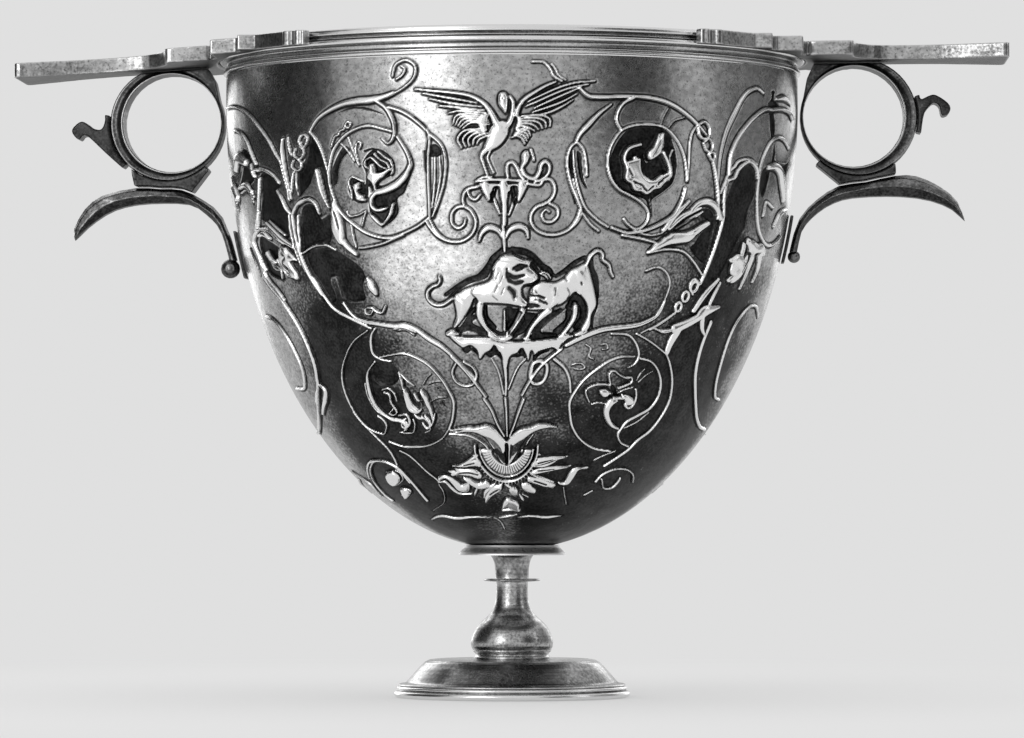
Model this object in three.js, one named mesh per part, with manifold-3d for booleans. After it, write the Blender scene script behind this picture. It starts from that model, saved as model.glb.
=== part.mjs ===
// A two-handled silver stemmed cup (kantharos), in millimetres, +Z up.
// The origin is on the cup's axis at the level the foot stands on, and the handles lie along X.
import * as THREE from "three";
import { mergeVertices } from "three/addons/utils/BufferGeometryUtils.js";
import Module from "manifold-3d";

// Fits
const SEAT_GAP = 0.3; // left between two pieces that bear on each other
const TENON_CLEARANCE = 0.3; // left round a tenon in its socket

// Foot
const FOOT_RING_RADIUS = 22.4;
const FOOT_RING_WIDTH = 3.8;
const FOOT_RING_HEIGHT = 1.9;
const FOOT_FLANGE_RADIUS = 21.6;
const FOOT_FLANGE_THICKNESS = 0.4;
const FOOT_DOME_FOOT_RADIUS = 19.7; // where the dome's side springs from its flange
const FOOT_DOME_SHOULDER_RADIUS = 16.2;
const FOOT_DOME_HEIGHT = 5.1;
const FOOT_DOME_WALL = 1.1;

// Stem
const FOOT_TENON_RADIUS = 2.6;
const FOOT_TENON_LENGTH = 2.0;
const BALUSTER_BULB_RADIUS = 7.8;
const BALUSTER_FOOT_RADIUS = 7.1;
const BALUSTER_NECK_RADIUS = 3.15;
const BALUSTER_HEIGHT = 14.0;
const STEM_TENON_RADIUS = 1.7;
const STEM_TENON_GRIP = 1.4; // how far the tenon reaches into the upper stem
const DISC_RADIUS = 5.4;
const DISC_THICKNESS = 0.6;
const UPPER_STEM_RADIUS = 3.2;
const UPPER_STEM_TRUMPET_RADIUS = 6.6;
const UPPER_STEM_HEIGHT = 3.9;
const COLLAR_TENON_RADIUS = 2.0;
const COLLAR_FOOT_RADIUS = 10.2;
const COLLAR_TOP_RADIUS = 9.0;
const COLLAR_THICKNESS = 0.7; // on the axis, under the bowl

// Bowl: a quarter ellipse below a short straight wall
const BOWL_RADIUS = 54.3;
const BOWL_CURVE_HEIGHT = 84;
const BOWL_WALL_HEIGHT = 5.7;
const CASING_WALL = 0.6;
const LINER_WALL = 0.7;

// Rim moulding
const RIM_HEIGHT = 5.1;
const RIM_LIP_OUT = 0.55; // each band's reach beyond the bowl's wall
const RIM_ROLL_OUT = 1.3;
const RIM_TOP_OUT = 1.1;
const RIM_NECK_IN = 0.2;

// Thumb plates, in plan
const PLATE_THICKNESS = 2.75;
const PLATE_TIP_REACH = 94.0; // from the cup's axis
const PLATE_TIP_HALF_WIDTH = 9.8;
const PLATE_WAIST_HALF_WIDTH = 5.7;
const PLATE_WAIST_AT = 0.55; // share of the tongue's length, from the rim to the tip
const PLATE_CORNER = 1.2;
const PLATE_DROOP_START = 50;
const ARM_WIDTH = 1.8;
const ARM_END_ANGLE = 51.0; // degrees from the handle's axis
const FIRST_LOBE = { near: 0.2, far: 8.7, halfWidth: 17.6 }; // beyond the rim, along the tongue
const ARM_LOBES = [
  { start: 18.2, peak: 27.4, end: 29.8, rise: 4.2 }, // degrees along the arm
  { start: 31.2, peak: 35.4, end: 37.2, rise: 2.7 },
];
const ARM_BEADS = [
  { at: 46.9, half: 1.1, rise: 0.8 },
  { at: 49.6, half: 0.7, rise: 0.5 },
];

// Finger rings and what hangs from them, seen from the front
const RING_BAR = 0.7; // metal left between the bore and the bowl or the plate
const RING_WIDTH = 7.0;
const LUNE_SHIFT = 1.0; // the outer circle lies this far outside the bore's centre
const LUNE_EXTRA = 1.6; // its radius less the bore's
const RING_FLARE = { reach: 7.4, mid: [8.75, 7.3], from: 160 };
const SPUR_WIDTH = 6.0;
const NECK_WIDTH = 6.6;
const NECK_FROM = -132; // degrees round the outer circle
const NECK_TO = -52;
const CRESCENT_WIDTH = 7.2;
const CRESCENT_END_WIDTH = 2.8;
const CRESCENT_END_DEPTH = 1.5;
const PAD_THICKNESS = 0.6;
const PAD_HEIGHT = 9.0;
const PAD_WIDTH = 5.6;
const BLUNT_EDGE = 0.8; // thickness of a leaf or saddle where it starts on the ring
const EDGE_ROUND = 0.25;

// The two handles were made by hand and differ a little. Outlines run from the bowl outwards,
// as [outward, up] from the centre of the finger ring's bore.
const HANDLES = {
  right: {
    turn: 0,
    droop: -0.007,
    boreRadius: 9.5,
    spurRoot: [20, -15],
    spurTop: [[12.8, 3.3], [14.3, 3.95], [15.5, 4.1], [17.6, 2.8], [18.35, 1.6], [17.9, 0.45]],
    spurUnder: [[16.9, 0.1], [16.5, 0.7], [16.2, 2.0], [15.2, 2.6], [14.2, 1.8], [13.3, 0.3]],
    crescentTop: [[-10.2, -19.2], [-6.8, -15.5], [-2.7, -13.0], [2.3, -12.3], [8.0, -11.1],
      [12.0, -11.2], [16.3, -13.1], [19.7, -16.0]],
    crescentUnder: [[-9.6, -21.3], [-7.3, -18.6], [-4.0, -16.4], [-0.1, -15.3], [7.2, -15.0],
      [13.5, -15.6], [18.3, -17.3]],
    crescentTip: [21.2, -19.9],
    ballDrop: 26.4,
    ballRadius: 1.25,
  },
  left: {
    turn: Math.PI,
    droop: 0.069,
    boreRadius: 9.3,
    spurRoot: [8, -45],
    spurTop: [[12.9, 0.3], [13.6, -1.1], [15.1, -0.9], [16.6, 0.2], [17.7, 0.3], [19.1, -1.0]],
    spurUnder: [[18.9, -2.1], [17.8, -3.1], [17.1, -2.3], [16.2, -2.4], [14.8, -3.6], [12.4, -5.9]],
    crescentTop: [[-9.4, -17.8], [-5.9, -14.6], [-1.7, -12.6], [2.4, -12.4], [7.2, -12.2],
      [13.5, -13.6], [16.9, -16.2], [19.0, -20.0]],
    crescentUnder: [[-9.0, -20.3], [-6.9, -17.8], [-3.5, -15.5], [1.9, -15.1], [7.6, -15.5],
      [12.0, -16.8], [16.0, -19.5]],
    crescentTip: [18.8, -22.3],
    ballDrop: 27.6,
    ballRadius: 1.9,
  },
};

// The chased relief's main forms, the same on both halves of the bowl. Points are [degrees round
// from the front, height, half width], with the heights as drawn on a bowl of the drawn size.
const DRAWN_BOTTOM = 28.0;
const DRAWN_EDGE = 117.7;
const STEM_RISE = 0.55; // above the bowl's wall
const LEAF_RISE = 0.75;
const FIGURE_RISE = 1.0;
const RELIEF_SINK = 0.25; // how far a form's edges and its back lie inside the wall
const RELIEF_BACK = 0.38;
const RELIEF_CRESTED = 0.9; // a form with less than this half width has a crest
const ROUNDELS = [
  [[-21.5, 104.4, 0.5], [-29.1, 105.1, 0.5], [-35.3, 101.1, 0.5], [-36.1, 94.1, 0.5], [-31.5, 88.0, 0.5],
    [-23.3, 85.1, 0.5], [-14.9, 87.9, 0.5]],
  [[38.5, 96.1, 0.5], [36.1, 102.4, 0.5], [30.0, 105.4, 0.5], [23.6, 104.1, 0.5], [20.9, 98.8, 0.5],
    [23.9, 93.0, 0.5], [29.2, 90.5, 0.5], [29.9, 87.0, 0.5], [25.5, 88.3, 0.5]],
  [[17.7, 56.9, 0.5], [20.9, 60.3, 0.5], [28.6, 63.6, 0.5], [38.0, 62.8, 0.5], [43.4, 57.5, 0.5],
    [41.5, 52.8, 0.5], [34.7, 50.3, 0.5], [39.1, 47.6, 0.5]],
  [[-29.7, 68.3, 0.5], [-31.6, 63.9, 0.5], [-23.3, 64.0, 0.5], [-17.5, 61.1, 0.5], [-14.3, 55.6, 0.5],
    [-15.8, 50.7, 0.5], [-28.0, 47.3, 0.5], [-37.3, 48.2, 0.5]],
  [[75.5, 103.3, 0.5], [67.3, 104.7, 0.5], [61.2, 99.7, 0.5], [61.2, 91.9, 0.5], [66.7, 85.7, 0.5],
    [77.8, 86.9, 0.5]],
  [[77.2, 71.9, 0.5], [69.0, 73.7, 0.5], [63.7, 70.1, 0.5], [63.7, 63.0, 0.5], [74.3, 56.3, 0.5]],
];
const STEMS = [
  [[2.1, 50.8, 0.3], [7.1, 59.7, 0.5], [14.1, 65.3, 0.8], [25.0, 68.9, 1.0], [35.6, 70.8, 1.1]],
  [[-1.4, 50.6, 0.3], [-7.9, 60.0, 0.5], [-15.2, 66.4, 0.8], [-25.6, 69.4, 1.0], [-35.6, 73.3, 0.8],
    [-37.5, 79.2, 0.5], [-31.8, 79.7, 0.3]],
  [[-32.1, 69.4, 0.45], [-42.6, 75.0, 0.45], [-47.7, 82.4, 0.45], [-47.2, 91.9, 0.5], [-50.6, 99.7, 0.5],
    [-59.1, 107.7, 0.5], [-76.3, 111.1, 0.5]],
  [[46.2, 77.2, 0.45], [49.7, 89.1, 0.5], [50.3, 100.8, 0.5], [59.1, 108.8, 0.5], [76.9, 108.8, 0.5]],
  [[-40.6, 104.9, 0.4], [-31.5, 109.9, 0.7], [-22.2, 109.1, 0.6], [-13.9, 102.9, 0.5], [-11.0, 97.0, 0.5],
    [-13.9, 88.6, 0.5]],
  [[42.9, 104.1, 0.5], [35.6, 109.0, 0.7], [26.8, 110.7, 0.7], [15.2, 111.6, 0.5]],
  [[21.5, 108.8, 0.6], [14.7, 101.7, 0.5], [13.2, 96.0, 0.5], [14.6, 89.9, 0.5]],
  [[-64.5, 78.6, 0.5], [-55.5, 71.2, 0.5], [-53.6, 62.2, 0.5], [-64.5, 53.6, 0.5], [-79.8, 50.2, 0.5]],
  [[-4.3, 93.9, 0.45], [-7.1, 90.5, 0.45], [-4.9, 87.7, 0.45], [-9.2, 84.0, 0.45], [-14.9, 87.7, 0.45]],
  [[5.3, 94.4, 0.45], [9.9, 95.1, 0.45], [10.2, 91.9, 0.45], [6.0, 88.6, 0.45], [9.6, 85.2, 0.45],
    [15.9, 89.9, 0.45]],
  [[-11.7, 68.1, 0.6], [-4.6, 66.8, 0.6], [4.2, 66.5, 0.6], [13.6, 67.5, 0.6]],
  [[0.4, 65.4, 0.8], [0.4, 52.2, 0.4]],
];
const LEAVES = [
  [[-15.8, 50.3, 0.3], [-8.7, 50.4, 0.9], [-2.9, 48.3, 1.8], [-0.2, 44.4, 0.5]],
  [[13.6, 51.1, 0.3], [8.3, 51.0, 0.9], [3.0, 48.1, 1.8], [0.2, 44.4, 0.5]],
  [[-5.7, 45.2, 0.9], [-2.6, 43.3, 0.9], [2.6, 43.3, 0.9], [5.6, 45.2, 0.9]],
  [[-10.4, 45.0, 0.9], [-17.2, 43.2, 0.5]],
  [[9.7, 46.0, 0.7], [19.9, 46.2, 0.4]],
  [[8.6, 42.7, 0.7], [16.5, 41.1, 0.4]],
  [[-24.0, 41.7, 0.3], [-19.6, 40.4, 0.8], [-14.3, 39.7, 0.3]],
  [[-35.6, 91.9, 0.3], [-35.0, 86.0, 1.6], [-30.6, 79.6, 0.3]],
  [[-17.8, 97.5, 0.6], [-20.8, 94.1, 0.8], [-25.0, 90.3, 0.5]],
  [[-25.2, 93.4, 0.7], [-25.9, 98.2, 1.9]],
  [[-25.0, 60.3, 0.4], [-24.4, 56.0, 1.6], [-24.0, 52.0, 0.4]],
  [[-29.0, 56.2, 0.4], [-24.4, 56.0, 1.4], [-20.2, 56.0, 0.4]],
  [[-37.1, 59.2, 0.5], [-36.2, 54.7, 0.7], [-30.3, 52.5, 0.4]],
  [[33.6, 50.8, 0.3], [28.4, 53.6, 1.1], [28.9, 57.8, 1.3], [29.4, 60.8, 0.6]],
  [[40.9, 90.4, 0.4], [45.3, 91.9, 0.7], [49.0, 89.1, 0.5]],
  [[-47.9, 90.2, 0.5], [-44.4, 92.3, 0.6], [-39.7, 90.1, 0.4]],
  [[0.8, 82.4, 0.4], [0.9, 89.7, 0.5], [0.9, 94.1, 0.8]],
  [[-4.0, 94.4, 0.5], [5.3, 94.4, 0.5]],
];
const FIGURES = [
  [[1.1, 109.9, 1.0], [2.0, 106.1, 0.6], [0.3, 103.8, 1.6], [-3.2, 99.5, 0.4]], // bird
  [[-0.8, 104.6, 1.3], [-5.6, 106.9, 2.1], [-10.2, 109.9, 1.4], [-16.4, 111.4, 0.4]],
  [[3.2, 104.4, 1.3], [6.4, 107.2, 2.1], [10.6, 110.6, 1.4], [18.0, 112.9, 0.4]],
  [[-8.6, 74.6, 1.5], [-3.5, 75.6, 1.8], [0.6, 76.6, 2.6], [2.4, 79.4, 2.7], [5.2, 79.6, 2.1],
    [8.9, 77.5, 0.9]], // lion
  [[-8.9, 73.9, 1.5], [-9.5, 71.2, 1.0], [-11.4, 68.1, 0.6]],
  [[-4.9, 73.3, 1.1], [-4.4, 70.6, 0.7], [-1.4, 67.6, 0.5]],
  [[4.2, 74.4, 1.4], [3.8, 70.6, 0.7], [0.9, 67.3, 0.5]],
  [[19.1, 78.3, 1.4], [16.6, 77.5, 2.1], [11.2, 75.3, 1.7], [7.1, 73.1, 1.3], [5.3, 72.8, 0.9]], // bull
  [[19.7, 76.7, 1.3], [20.0, 73.4, 0.8], [18.7, 68.1, 0.5]],
  [[16.5, 75.4, 1.3], [16.6, 71.8, 0.8], [13.6, 68.2, 0.5]],
  [[10.6, 72.9, 1.2], [8.2, 70.4, 0.8], [5.2, 66.9, 0.5]],
  [[41.4, 68.6, 0.9], [47.4, 70.8, 1.0], [54.4, 73.1, 0.4]], // running beast
  [[33.0, 83.4, 0.4], [38.5, 85.2, 1.0], [45.6, 88.0, 0.4]], // small bird
  [[54.9, 81.2, 0.6], [59.0, 82.6, 1.3], [67.7, 83.3, 0.6]], // striding beast
  [[64.6, 99.1, 0.5], [70.2, 98.6, 1.1], [74.6, 93.6, 0.6]],
  [[-53.8, 83.6, 0.8], [-51.1, 79.7, 0.9]],
  [[-70.6, 99.6, 0.9], [-64.5, 100.2, 0.9]],
];
const OPEN_FLOWER = { at: [29.4, 97.7], across: 4.7, up: 3.9, petal: 0.85, petals: 8, boss: 1.2 };

// Facets
const BOWL_FACETS = 48;
const BOWL_STEPS = 12;
const STEM_FACETS = 36;
const RING_FACETS = 36;
const CRESCENT_STEPS = 18;
const BALL_FACETS = 14;

// Colours
const WORN_SILVER = { color: 0xc9c8c3, roughness: 0.34 };
const CHASED_SILVER = { color: 0xa9a8a3, roughness: 0.42 };
const DARK_SILVER = { color: 0x83827e, roughness: 0.38 };

// Heights, from the foot upwards
const DOME_BASE = FOOT_RING_HEIGHT + SEAT_GAP;
const DOME_TOP = DOME_BASE + FOOT_DOME_HEIGHT;
const BALUSTER_BASE = DOME_TOP + SEAT_GAP;
const BALUSTER_TOP = BALUSTER_BASE + BALUSTER_HEIGHT;
const DISC_BASE = BALUSTER_TOP + SEAT_GAP;
const UPPER_STEM_BASE = DISC_BASE + DISC_THICKNESS + SEAT_GAP;
const UPPER_STEM_TOP = UPPER_STEM_BASE + UPPER_STEM_HEIGHT;
const COLLAR_BASE = UPPER_STEM_TOP + SEAT_GAP;
const BOWL_BOTTOM = COLLAR_BASE + COLLAR_THICKNESS + SEAT_GAP;
const BOWL_SPRING = BOWL_BOTTOM + BOWL_CURVE_HEIGHT; // top of the curved part
const BOWL_EDGE = BOWL_SPRING + BOWL_WALL_HEIGHT;
const RIM_BASE = BOWL_EDGE + SEAT_GAP;
const RIM_TOP = RIM_BASE + RIM_HEIGHT;
const PLATE_INNER_RADIUS = BOWL_RADIUS + RIM_ROLL_OUT + SEAT_GAP;
const ARM_RADIUS = PLATE_INNER_RADIUS + ARM_WIDTH;

const radians = THREE.MathUtils.degToRad;

const wasm = await Module();
wasm.setup();

function piece(name, geometry, finish) {
  const material = new THREE.MeshStandardMaterial({ metalness: 1, ...finish });
  const mesh = new THREE.Mesh(geometry, material);
  mesh.name = name;
  return mesh;
}

// A turned piece from its half section as [radius, height], which is closed or ends on the axis.
function turned(section, facets) {
  const points = section.map(([radius, height]) => new THREE.Vector2(radius, height));
  if (THREE.ShapeUtils.isClockWise(points)) points.reverse();
  if (points[0].x > 0) points.push(points[0].clone());
  return new THREE.LatheGeometry(points, facets).rotateX(Math.PI / 2);
}

// Points of a smooth curve through the given [x, y] pairs.
function smooth(pairs, steps) {
  const curve = new THREE.SplineCurve(pairs.map(([x, y]) => new THREE.Vector2(x, y)));
  return curve.getPoints(steps).map((point) => [point.x, point.y]);
}

// A plate cut to an outline seen from the front, with its edges rounded and its middle on Y = 0.
function frontPlate(outline, width) {
  const shape = new THREE.Shape(outline.map(([x, z]) => new THREE.Vector2(x, z)));
  const geometry = new THREE.ExtrudeGeometry(shape, {
    depth: width - 2 * EDGE_ROUND,
    bevelThickness: EDGE_ROUND,
    bevelSize: EDGE_ROUND,
    bevelOffset: -EDGE_ROUND,
    bevelSegments: 1,
  });
  const middle = width / 2 - EDGE_ROUND;
  return geometry.translate(0, 0, -middle).rotateX(Math.PI / 2);
}

// A point moved straight out from a centre on the X axis.
function outward([x, y], centreX, distance) {
  const share = 1 + distance / Math.hypot(x - centreX, y);
  return [centreX + (x - centreX) * share, y * share];
}

// Points of an arc as [x, y], from one angle to another in degrees.
function arc(centreX, radius, from, to, steps) {
  return Array.from({ length: steps + 1 }, (_, step) => {
    const angle = radians(from + ((to - from) * step) / steps);
    return [centreX + radius * Math.cos(angle), radius * Math.sin(angle)];
  });
}

// The bowl's outer wall: its radius at a height, and its height at a radius on the underside.
function wallRadius(height) {
  const below = Math.max(0, BOWL_SPRING - height) / BOWL_CURVE_HEIGHT;
  return BOWL_RADIUS * Math.sqrt(1 - below * below);
}

function undersideHeight(radius) {
  const share = radius / BOWL_RADIUS;
  return BOWL_SPRING - BOWL_CURVE_HEIGHT * Math.sqrt(1 - share * share);
}

// One face of the bowl's wall, set in from the outside by an inset, from the axis to the edge.
function bowlFace(inset) {
  const face = Array.from({ length: BOWL_STEPS + 1 }, (_, step) => {
    const angle = (Math.PI / 2) * (step / BOWL_STEPS);
    return [
      (BOWL_RADIUS - inset) * Math.sin(angle),
      BOWL_SPRING - (BOWL_CURVE_HEIGHT - inset) * Math.cos(angle),
    ];
  });
  face.push([BOWL_RADIUS - inset, BOWL_EDGE]);
  return face;
}

function bowlShell(inset, wall) {
  const outside = bowlFace(inset);
  const inside = bowlFace(inset + wall).reverse();
  return turned([...outside, ...inside], BOWL_FACETS);
}

// A place on the bowl's wall and the direction straight out of it, from degrees and a drawn height.
function onWall(degrees, drawnHeight) {
  const share = (drawnHeight - DRAWN_BOTTOM) / (DRAWN_EDGE - DRAWN_BOTTOM);
  const height = BOWL_BOTTOM + share * (BOWL_EDGE - BOWL_BOTTOM);
  const radius = wallRadius(height);
  const lean = new THREE.Vector2(
    radius / BOWL_RADIUS ** 2,
    (Math.min(height, BOWL_SPRING) - BOWL_SPRING) / BOWL_CURVE_HEIGHT ** 2,
  ).normalize();
  const turn = radians(degrees - 90);
  const place = new THREE.Vector3(radius * Math.cos(turn), radius * Math.sin(turn), height);
  const out = new THREE.Vector3(lean.x * Math.cos(turn), lean.x * Math.sin(turn), lean.y);
  return { place, out };
}

// One raised form: a closed bar that follows the wall, its back inside it, with a crest or, where
// it is wide, a bevelled top.
function reliefBar(points, rise, closed = false) {
  const widest = Math.max(...points.map(([, , half]) => half));
  const stations = points.map(([degrees, height]) => onWall(degrees, height));
  const crest = widest < RELIEF_CRESTED ? [0] : [-0.5, 0.5]; // across, as shares of the half width
  const sides = crest.length + 3;
  const last = points.length - 1;
  const positions = [];
  stations.forEach(({ place, out }, index) => {
    const before = closed && index === 0 ? last : Math.max(0, index - 1);
    const after = closed && index === last ? 0 : Math.min(last, index + 1);
    const along = stations[after].place.clone().sub(stations[before].place);
    const across = along.cross(out).normalize();
    const half = points[index][2];
    const lift = rise * Math.sqrt(half / widest);
    const edges = [-1, 1].map((share) => [share, -RELIEF_SINK]);
    const top = crest.map((share) => [share, lift]);
    for (const [share, up] of [edges[0], ...top, edges[1], [0, -RELIEF_BACK]]) {
      positions.push(...place.clone().addScaledVector(across, half * share).addScaledVector(out, up));
    }
  });
  const corners = [];
  const spans = closed ? points.length : last;
  for (let span = 0; span < spans; span += 1) {
    for (let side = 0; side < sides; side += 1) {
      const here = [span * sides + side, span * sides + ((side + 1) % sides)];
      const next = here.map((corner) => (corner + sides) % (points.length * sides));
      corners.push(here[0], here[1], next[1], here[0], next[1], next[0]);
    }
  }
  if (!closed) {
    const end = last * sides;
    for (let side = 1; side < sides - 1; side += 1) {
      corners.push(0, side + 1, side, end, end + side, end + side + 1);
    }
  }
  return asSolid(new Float32Array(positions), new Uint32Array(corners));
}

function asSolid(vertProperties, triVerts) {
  return new wasm.Manifold(new wasm.Mesh({ numProp: 3, vertProperties, triVerts }));
}

// The open flower in the upper right roundel: a ruffled ring of petals round a boss.
function openFlower() {
  const { at, across, up, petal, petals, boss } = OPEN_FLOWER;
  const ring = Array.from({ length: petals }, (_, index) => {
    const angle = (2 * Math.PI * index) / petals;
    return [at[0] + across * Math.cos(angle), at[1] + up * Math.sin(angle), petal];
  });
  const middle = [[at[0] - boss, at[1], boss], [at[0] + boss, at[1], boss]];
  return [reliefBar(ring, FIGURE_RISE, true), reliefBar(middle, LEAF_RISE)];
}

// The casing with the chasing's main forms joined to it, front and back.
function bowlCasing() {
  const shell = bowlShell(0, CASING_WALL);
  shell.deleteAttribute("normal");
  shell.deleteAttribute("uv");
  const { attributes, index } = mergeVertices(shell);
  const plain = asSolid(new Float32Array(attributes.position.array), new Uint32Array(index.array));
  const forms = [
    ...[...ROUNDELS, ...STEMS].map((points) => reliefBar(points, STEM_RISE)),
    ...LEAVES.map((points) => reliefBar(points, LEAF_RISE)),
    ...FIGURES.map((points) => reliefBar(points, FIGURE_RISE)),
    ...openFlower(),
  ];
  const front = forms.reduce((joined, form) => joined.add(form));
  const mesh = plain.add(front).add(front.rotate([0, 0, 180])).getMesh();
  const geometry = new THREE.BufferGeometry();
  geometry.setAttribute("position", new THREE.BufferAttribute(mesh.vertProperties, 3));
  geometry.setIndex(new THREE.BufferAttribute(mesh.triVerts, 1));
  geometry.computeVertexNormals();
  return geometry;
}

// The moulded rim caps the casing and the liner: lip, hollow, roll, groove and top band.
function rimMoulding() {
  const inner = BOWL_RADIUS - CASING_WALL - SEAT_GAP - LINER_WALL;
  const neck = BOWL_RADIUS - RIM_NECK_IN;
  const lip = BOWL_RADIUS + RIM_LIP_OUT;
  const roll = BOWL_RADIUS + RIM_ROLL_OUT;
  const top = BOWL_RADIUS + RIM_TOP_OUT;
  const height = (share) => RIM_BASE + RIM_HEIGHT * share;
  const softened = 0.4;
  return turned(
    [
      [inner, RIM_BASE],
      [lip, RIM_BASE],
      [lip, height(0.1)],
      [neck, height(0.19)],
      [neck, height(0.35)],
      [roll - softened, height(0.41)],
      [roll, height(0.47)],
      [roll, height(0.55)],
      [roll - softened, height(0.61)],
      [neck + softened, height(0.64)],
      [neck + softened, height(0.74)],
      [top - softened, height(0.77)],
      [top, height(0.83)],
      [top, height(0.94)],
      [top - softened, RIM_TOP],
      [inner + softened, RIM_TOP],
      [inner, height(0.88)],
    ],
    BOWL_FACETS,
  );
}

function footEdgeRing() {
  const outer = FOOT_RING_RADIUS;
  const inner = outer - FOOT_RING_WIDTH;
  const height = (share) => FOOT_RING_HEIGHT * share;
  const groove = 0.35;
  const lowerBand = smooth([[outer - groove, 0], [outer, height(0.28)], [outer - groove, height(0.5)]], 4);
  const upperBand = smooth(
    [[outer - groove, height(0.58)], [outer - groove / 2, height(0.75)], [outer - 2 * groove, height(1)]],
    4,
  );
  return turned([[inner, 0], ...lowerBand, ...upperBand, [inner, height(1)]], BOWL_FACETS);
}

function footDome() {
  const bore = FOOT_TENON_RADIUS + TENON_CLEARANCE;
  const flangeTop = DOME_BASE + FOOT_FLANGE_THICKNESS;
  const seat = FOOT_RING_RADIUS - FOOT_RING_WIDTH + SEAT_GAP;
  const shoulder = FOOT_DOME_SHOULDER_RADIUS;
  const crown = DOME_TOP - SEAT_GAP;
  const side = smooth(
    [
      [FOOT_DOME_FOOT_RADIUS, flangeTop + 0.5],
      [(FOOT_DOME_FOOT_RADIUS + shoulder) / 2, (flangeTop + crown) / 2 + 0.2],
      [shoulder, crown],
    ],
    6,
  );
  const underSide = [
    [bore, DOME_TOP - FOOT_DOME_WALL],
    [shoulder - FOOT_DOME_WALL, crown - FOOT_DOME_WALL],
    [FOOT_DOME_FOOT_RADIUS - FOOT_DOME_WALL, flangeTop + 0.5],
    [seat, DOME_BASE],
  ];
  return turned(
    [
      ...underSide,
      [FOOT_FLANGE_RADIUS, DOME_BASE],
      [FOOT_FLANGE_RADIUS - 0.2, flangeTop],
      [FOOT_DOME_FOOT_RADIUS + 0.5, flangeTop],
      ...side,
      [shoulder - 0.5, DOME_TOP],
      [bore, DOME_TOP],
    ],
    BOWL_FACETS,
  );
}

function stemBaluster() {
  const at = (share) => BALUSTER_BASE + BALUSTER_HEIGHT * share;
  const outline = smooth(
    [
      [BALUSTER_FOOT_RADIUS, at(0.05)],
      [BALUSTER_BULB_RADIUS, at(0.19)],
      [BALUSTER_BULB_RADIUS * 0.93, at(0.37)],
      [BALUSTER_BULB_RADIUS * 0.66, at(0.55)],
      [BALUSTER_NECK_RADIUS * 1.14, at(0.71)],
      [BALUSTER_NECK_RADIUS, at(0.87)],
      [BALUSTER_NECK_RADIUS * 1.09, at(1)],
    ],
    18,
  );
  const tenonTop = UPPER_STEM_BASE + STEM_TENON_GRIP;
  return turned(
    [
      [0, BALUSTER_BASE - FOOT_TENON_LENGTH],
      [FOOT_TENON_RADIUS, BALUSTER_BASE - FOOT_TENON_LENGTH],
      [FOOT_TENON_RADIUS, BALUSTER_BASE],
      [BALUSTER_FOOT_RADIUS + 0.3, BALUSTER_BASE],
      ...outline,
      [STEM_TENON_RADIUS, BALUSTER_TOP],
      [STEM_TENON_RADIUS, tenonTop],
      [0, tenonTop],
    ],
    STEM_FACETS,
  );
}

function stemDisc() {
  const bore = STEM_TENON_RADIUS + TENON_CLEARANCE;
  const bevel = DISC_THICKNESS / 2;
  return turned(
    [
      [bore, DISC_BASE],
      [DISC_RADIUS - bevel, DISC_BASE],
      [DISC_RADIUS, DISC_BASE + bevel],
      [DISC_RADIUS - bevel, DISC_BASE + DISC_THICKNESS],
      [bore, DISC_BASE + DISC_THICKNESS],
    ],
    STEM_FACETS,
  );
}

function upperStem() {
  const socket = STEM_TENON_RADIUS + TENON_CLEARANCE;
  const socketTop = UPPER_STEM_BASE + STEM_TENON_GRIP + TENON_CLEARANCE;
  const at = (share) => UPPER_STEM_BASE + UPPER_STEM_HEIGHT * share;
  const outline = smooth(
    [
      [UPPER_STEM_RADIUS * 1.03, at(0)],
      [UPPER_STEM_RADIUS, at(0.2)],
      [UPPER_STEM_RADIUS * 1.2, at(0.7)],
      [UPPER_STEM_RADIUS * 1.5, at(0.92)],
      [UPPER_STEM_TRUMPET_RADIUS, at(1)],
    ],
    12,
  );
  const tenonTop = COLLAR_BASE + COLLAR_THICKNESS - 0.1;
  return turned(
    [
      [0, socketTop],
      [socket, socketTop],
      [socket, UPPER_STEM_BASE],
      ...outline,
      [COLLAR_TENON_RADIUS, UPPER_STEM_TOP],
      [COLLAR_TENON_RADIUS, tenonTop],
      [0, tenonTop],
    ],
    STEM_FACETS,
  );
}

// The collar is dished on top to fit the bowl's underside.
function stemCollar() {
  const bore = COLLAR_TENON_RADIUS + TENON_CLEARANCE;
  const edge = undersideHeight(COLLAR_TOP_RADIUS) - SEAT_GAP;
  const flare = smooth(
    [
      [COLLAR_FOOT_RADIUS, COLLAR_BASE],
      [COLLAR_FOOT_RADIUS - 0.05, COLLAR_BASE + 0.35],
      [(COLLAR_FOOT_RADIUS + COLLAR_TOP_RADIUS) / 2, (COLLAR_BASE + edge) / 2 + 0.2],
      [COLLAR_TOP_RADIUS, edge],
    ],
    6,
  );
  const dish = [0.75, 0.5].map((share) => {
    const radius = COLLAR_TOP_RADIUS * share;
    return [radius, undersideHeight(radius) - SEAT_GAP];
  });
  return turned(
    [[bore, COLLAR_BASE], ...flare, ...dish, [bore, undersideHeight(bore) - SEAT_GAP]],
    STEM_FACETS,
  );
}

// How far the arm's outer edge stands out at an angle, with its leaf points and end beads.
function armRise(angle) {
  let rise = 0;
  for (const { start, peak, end, rise: height } of ARM_LOBES) {
    if (angle > start && angle <= peak) rise = (height * (angle - start)) / (peak - start);
    if (angle > peak && angle < end) rise = (height * (end - angle)) / (end - peak);
  }
  for (const { at, half, rise: height } of ARM_BEADS) {
    const share = (angle - at) / half;
    if (Math.abs(share) < 1) rise = height * Math.sqrt(1 - share * share);
  }
  return rise;
}

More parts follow.
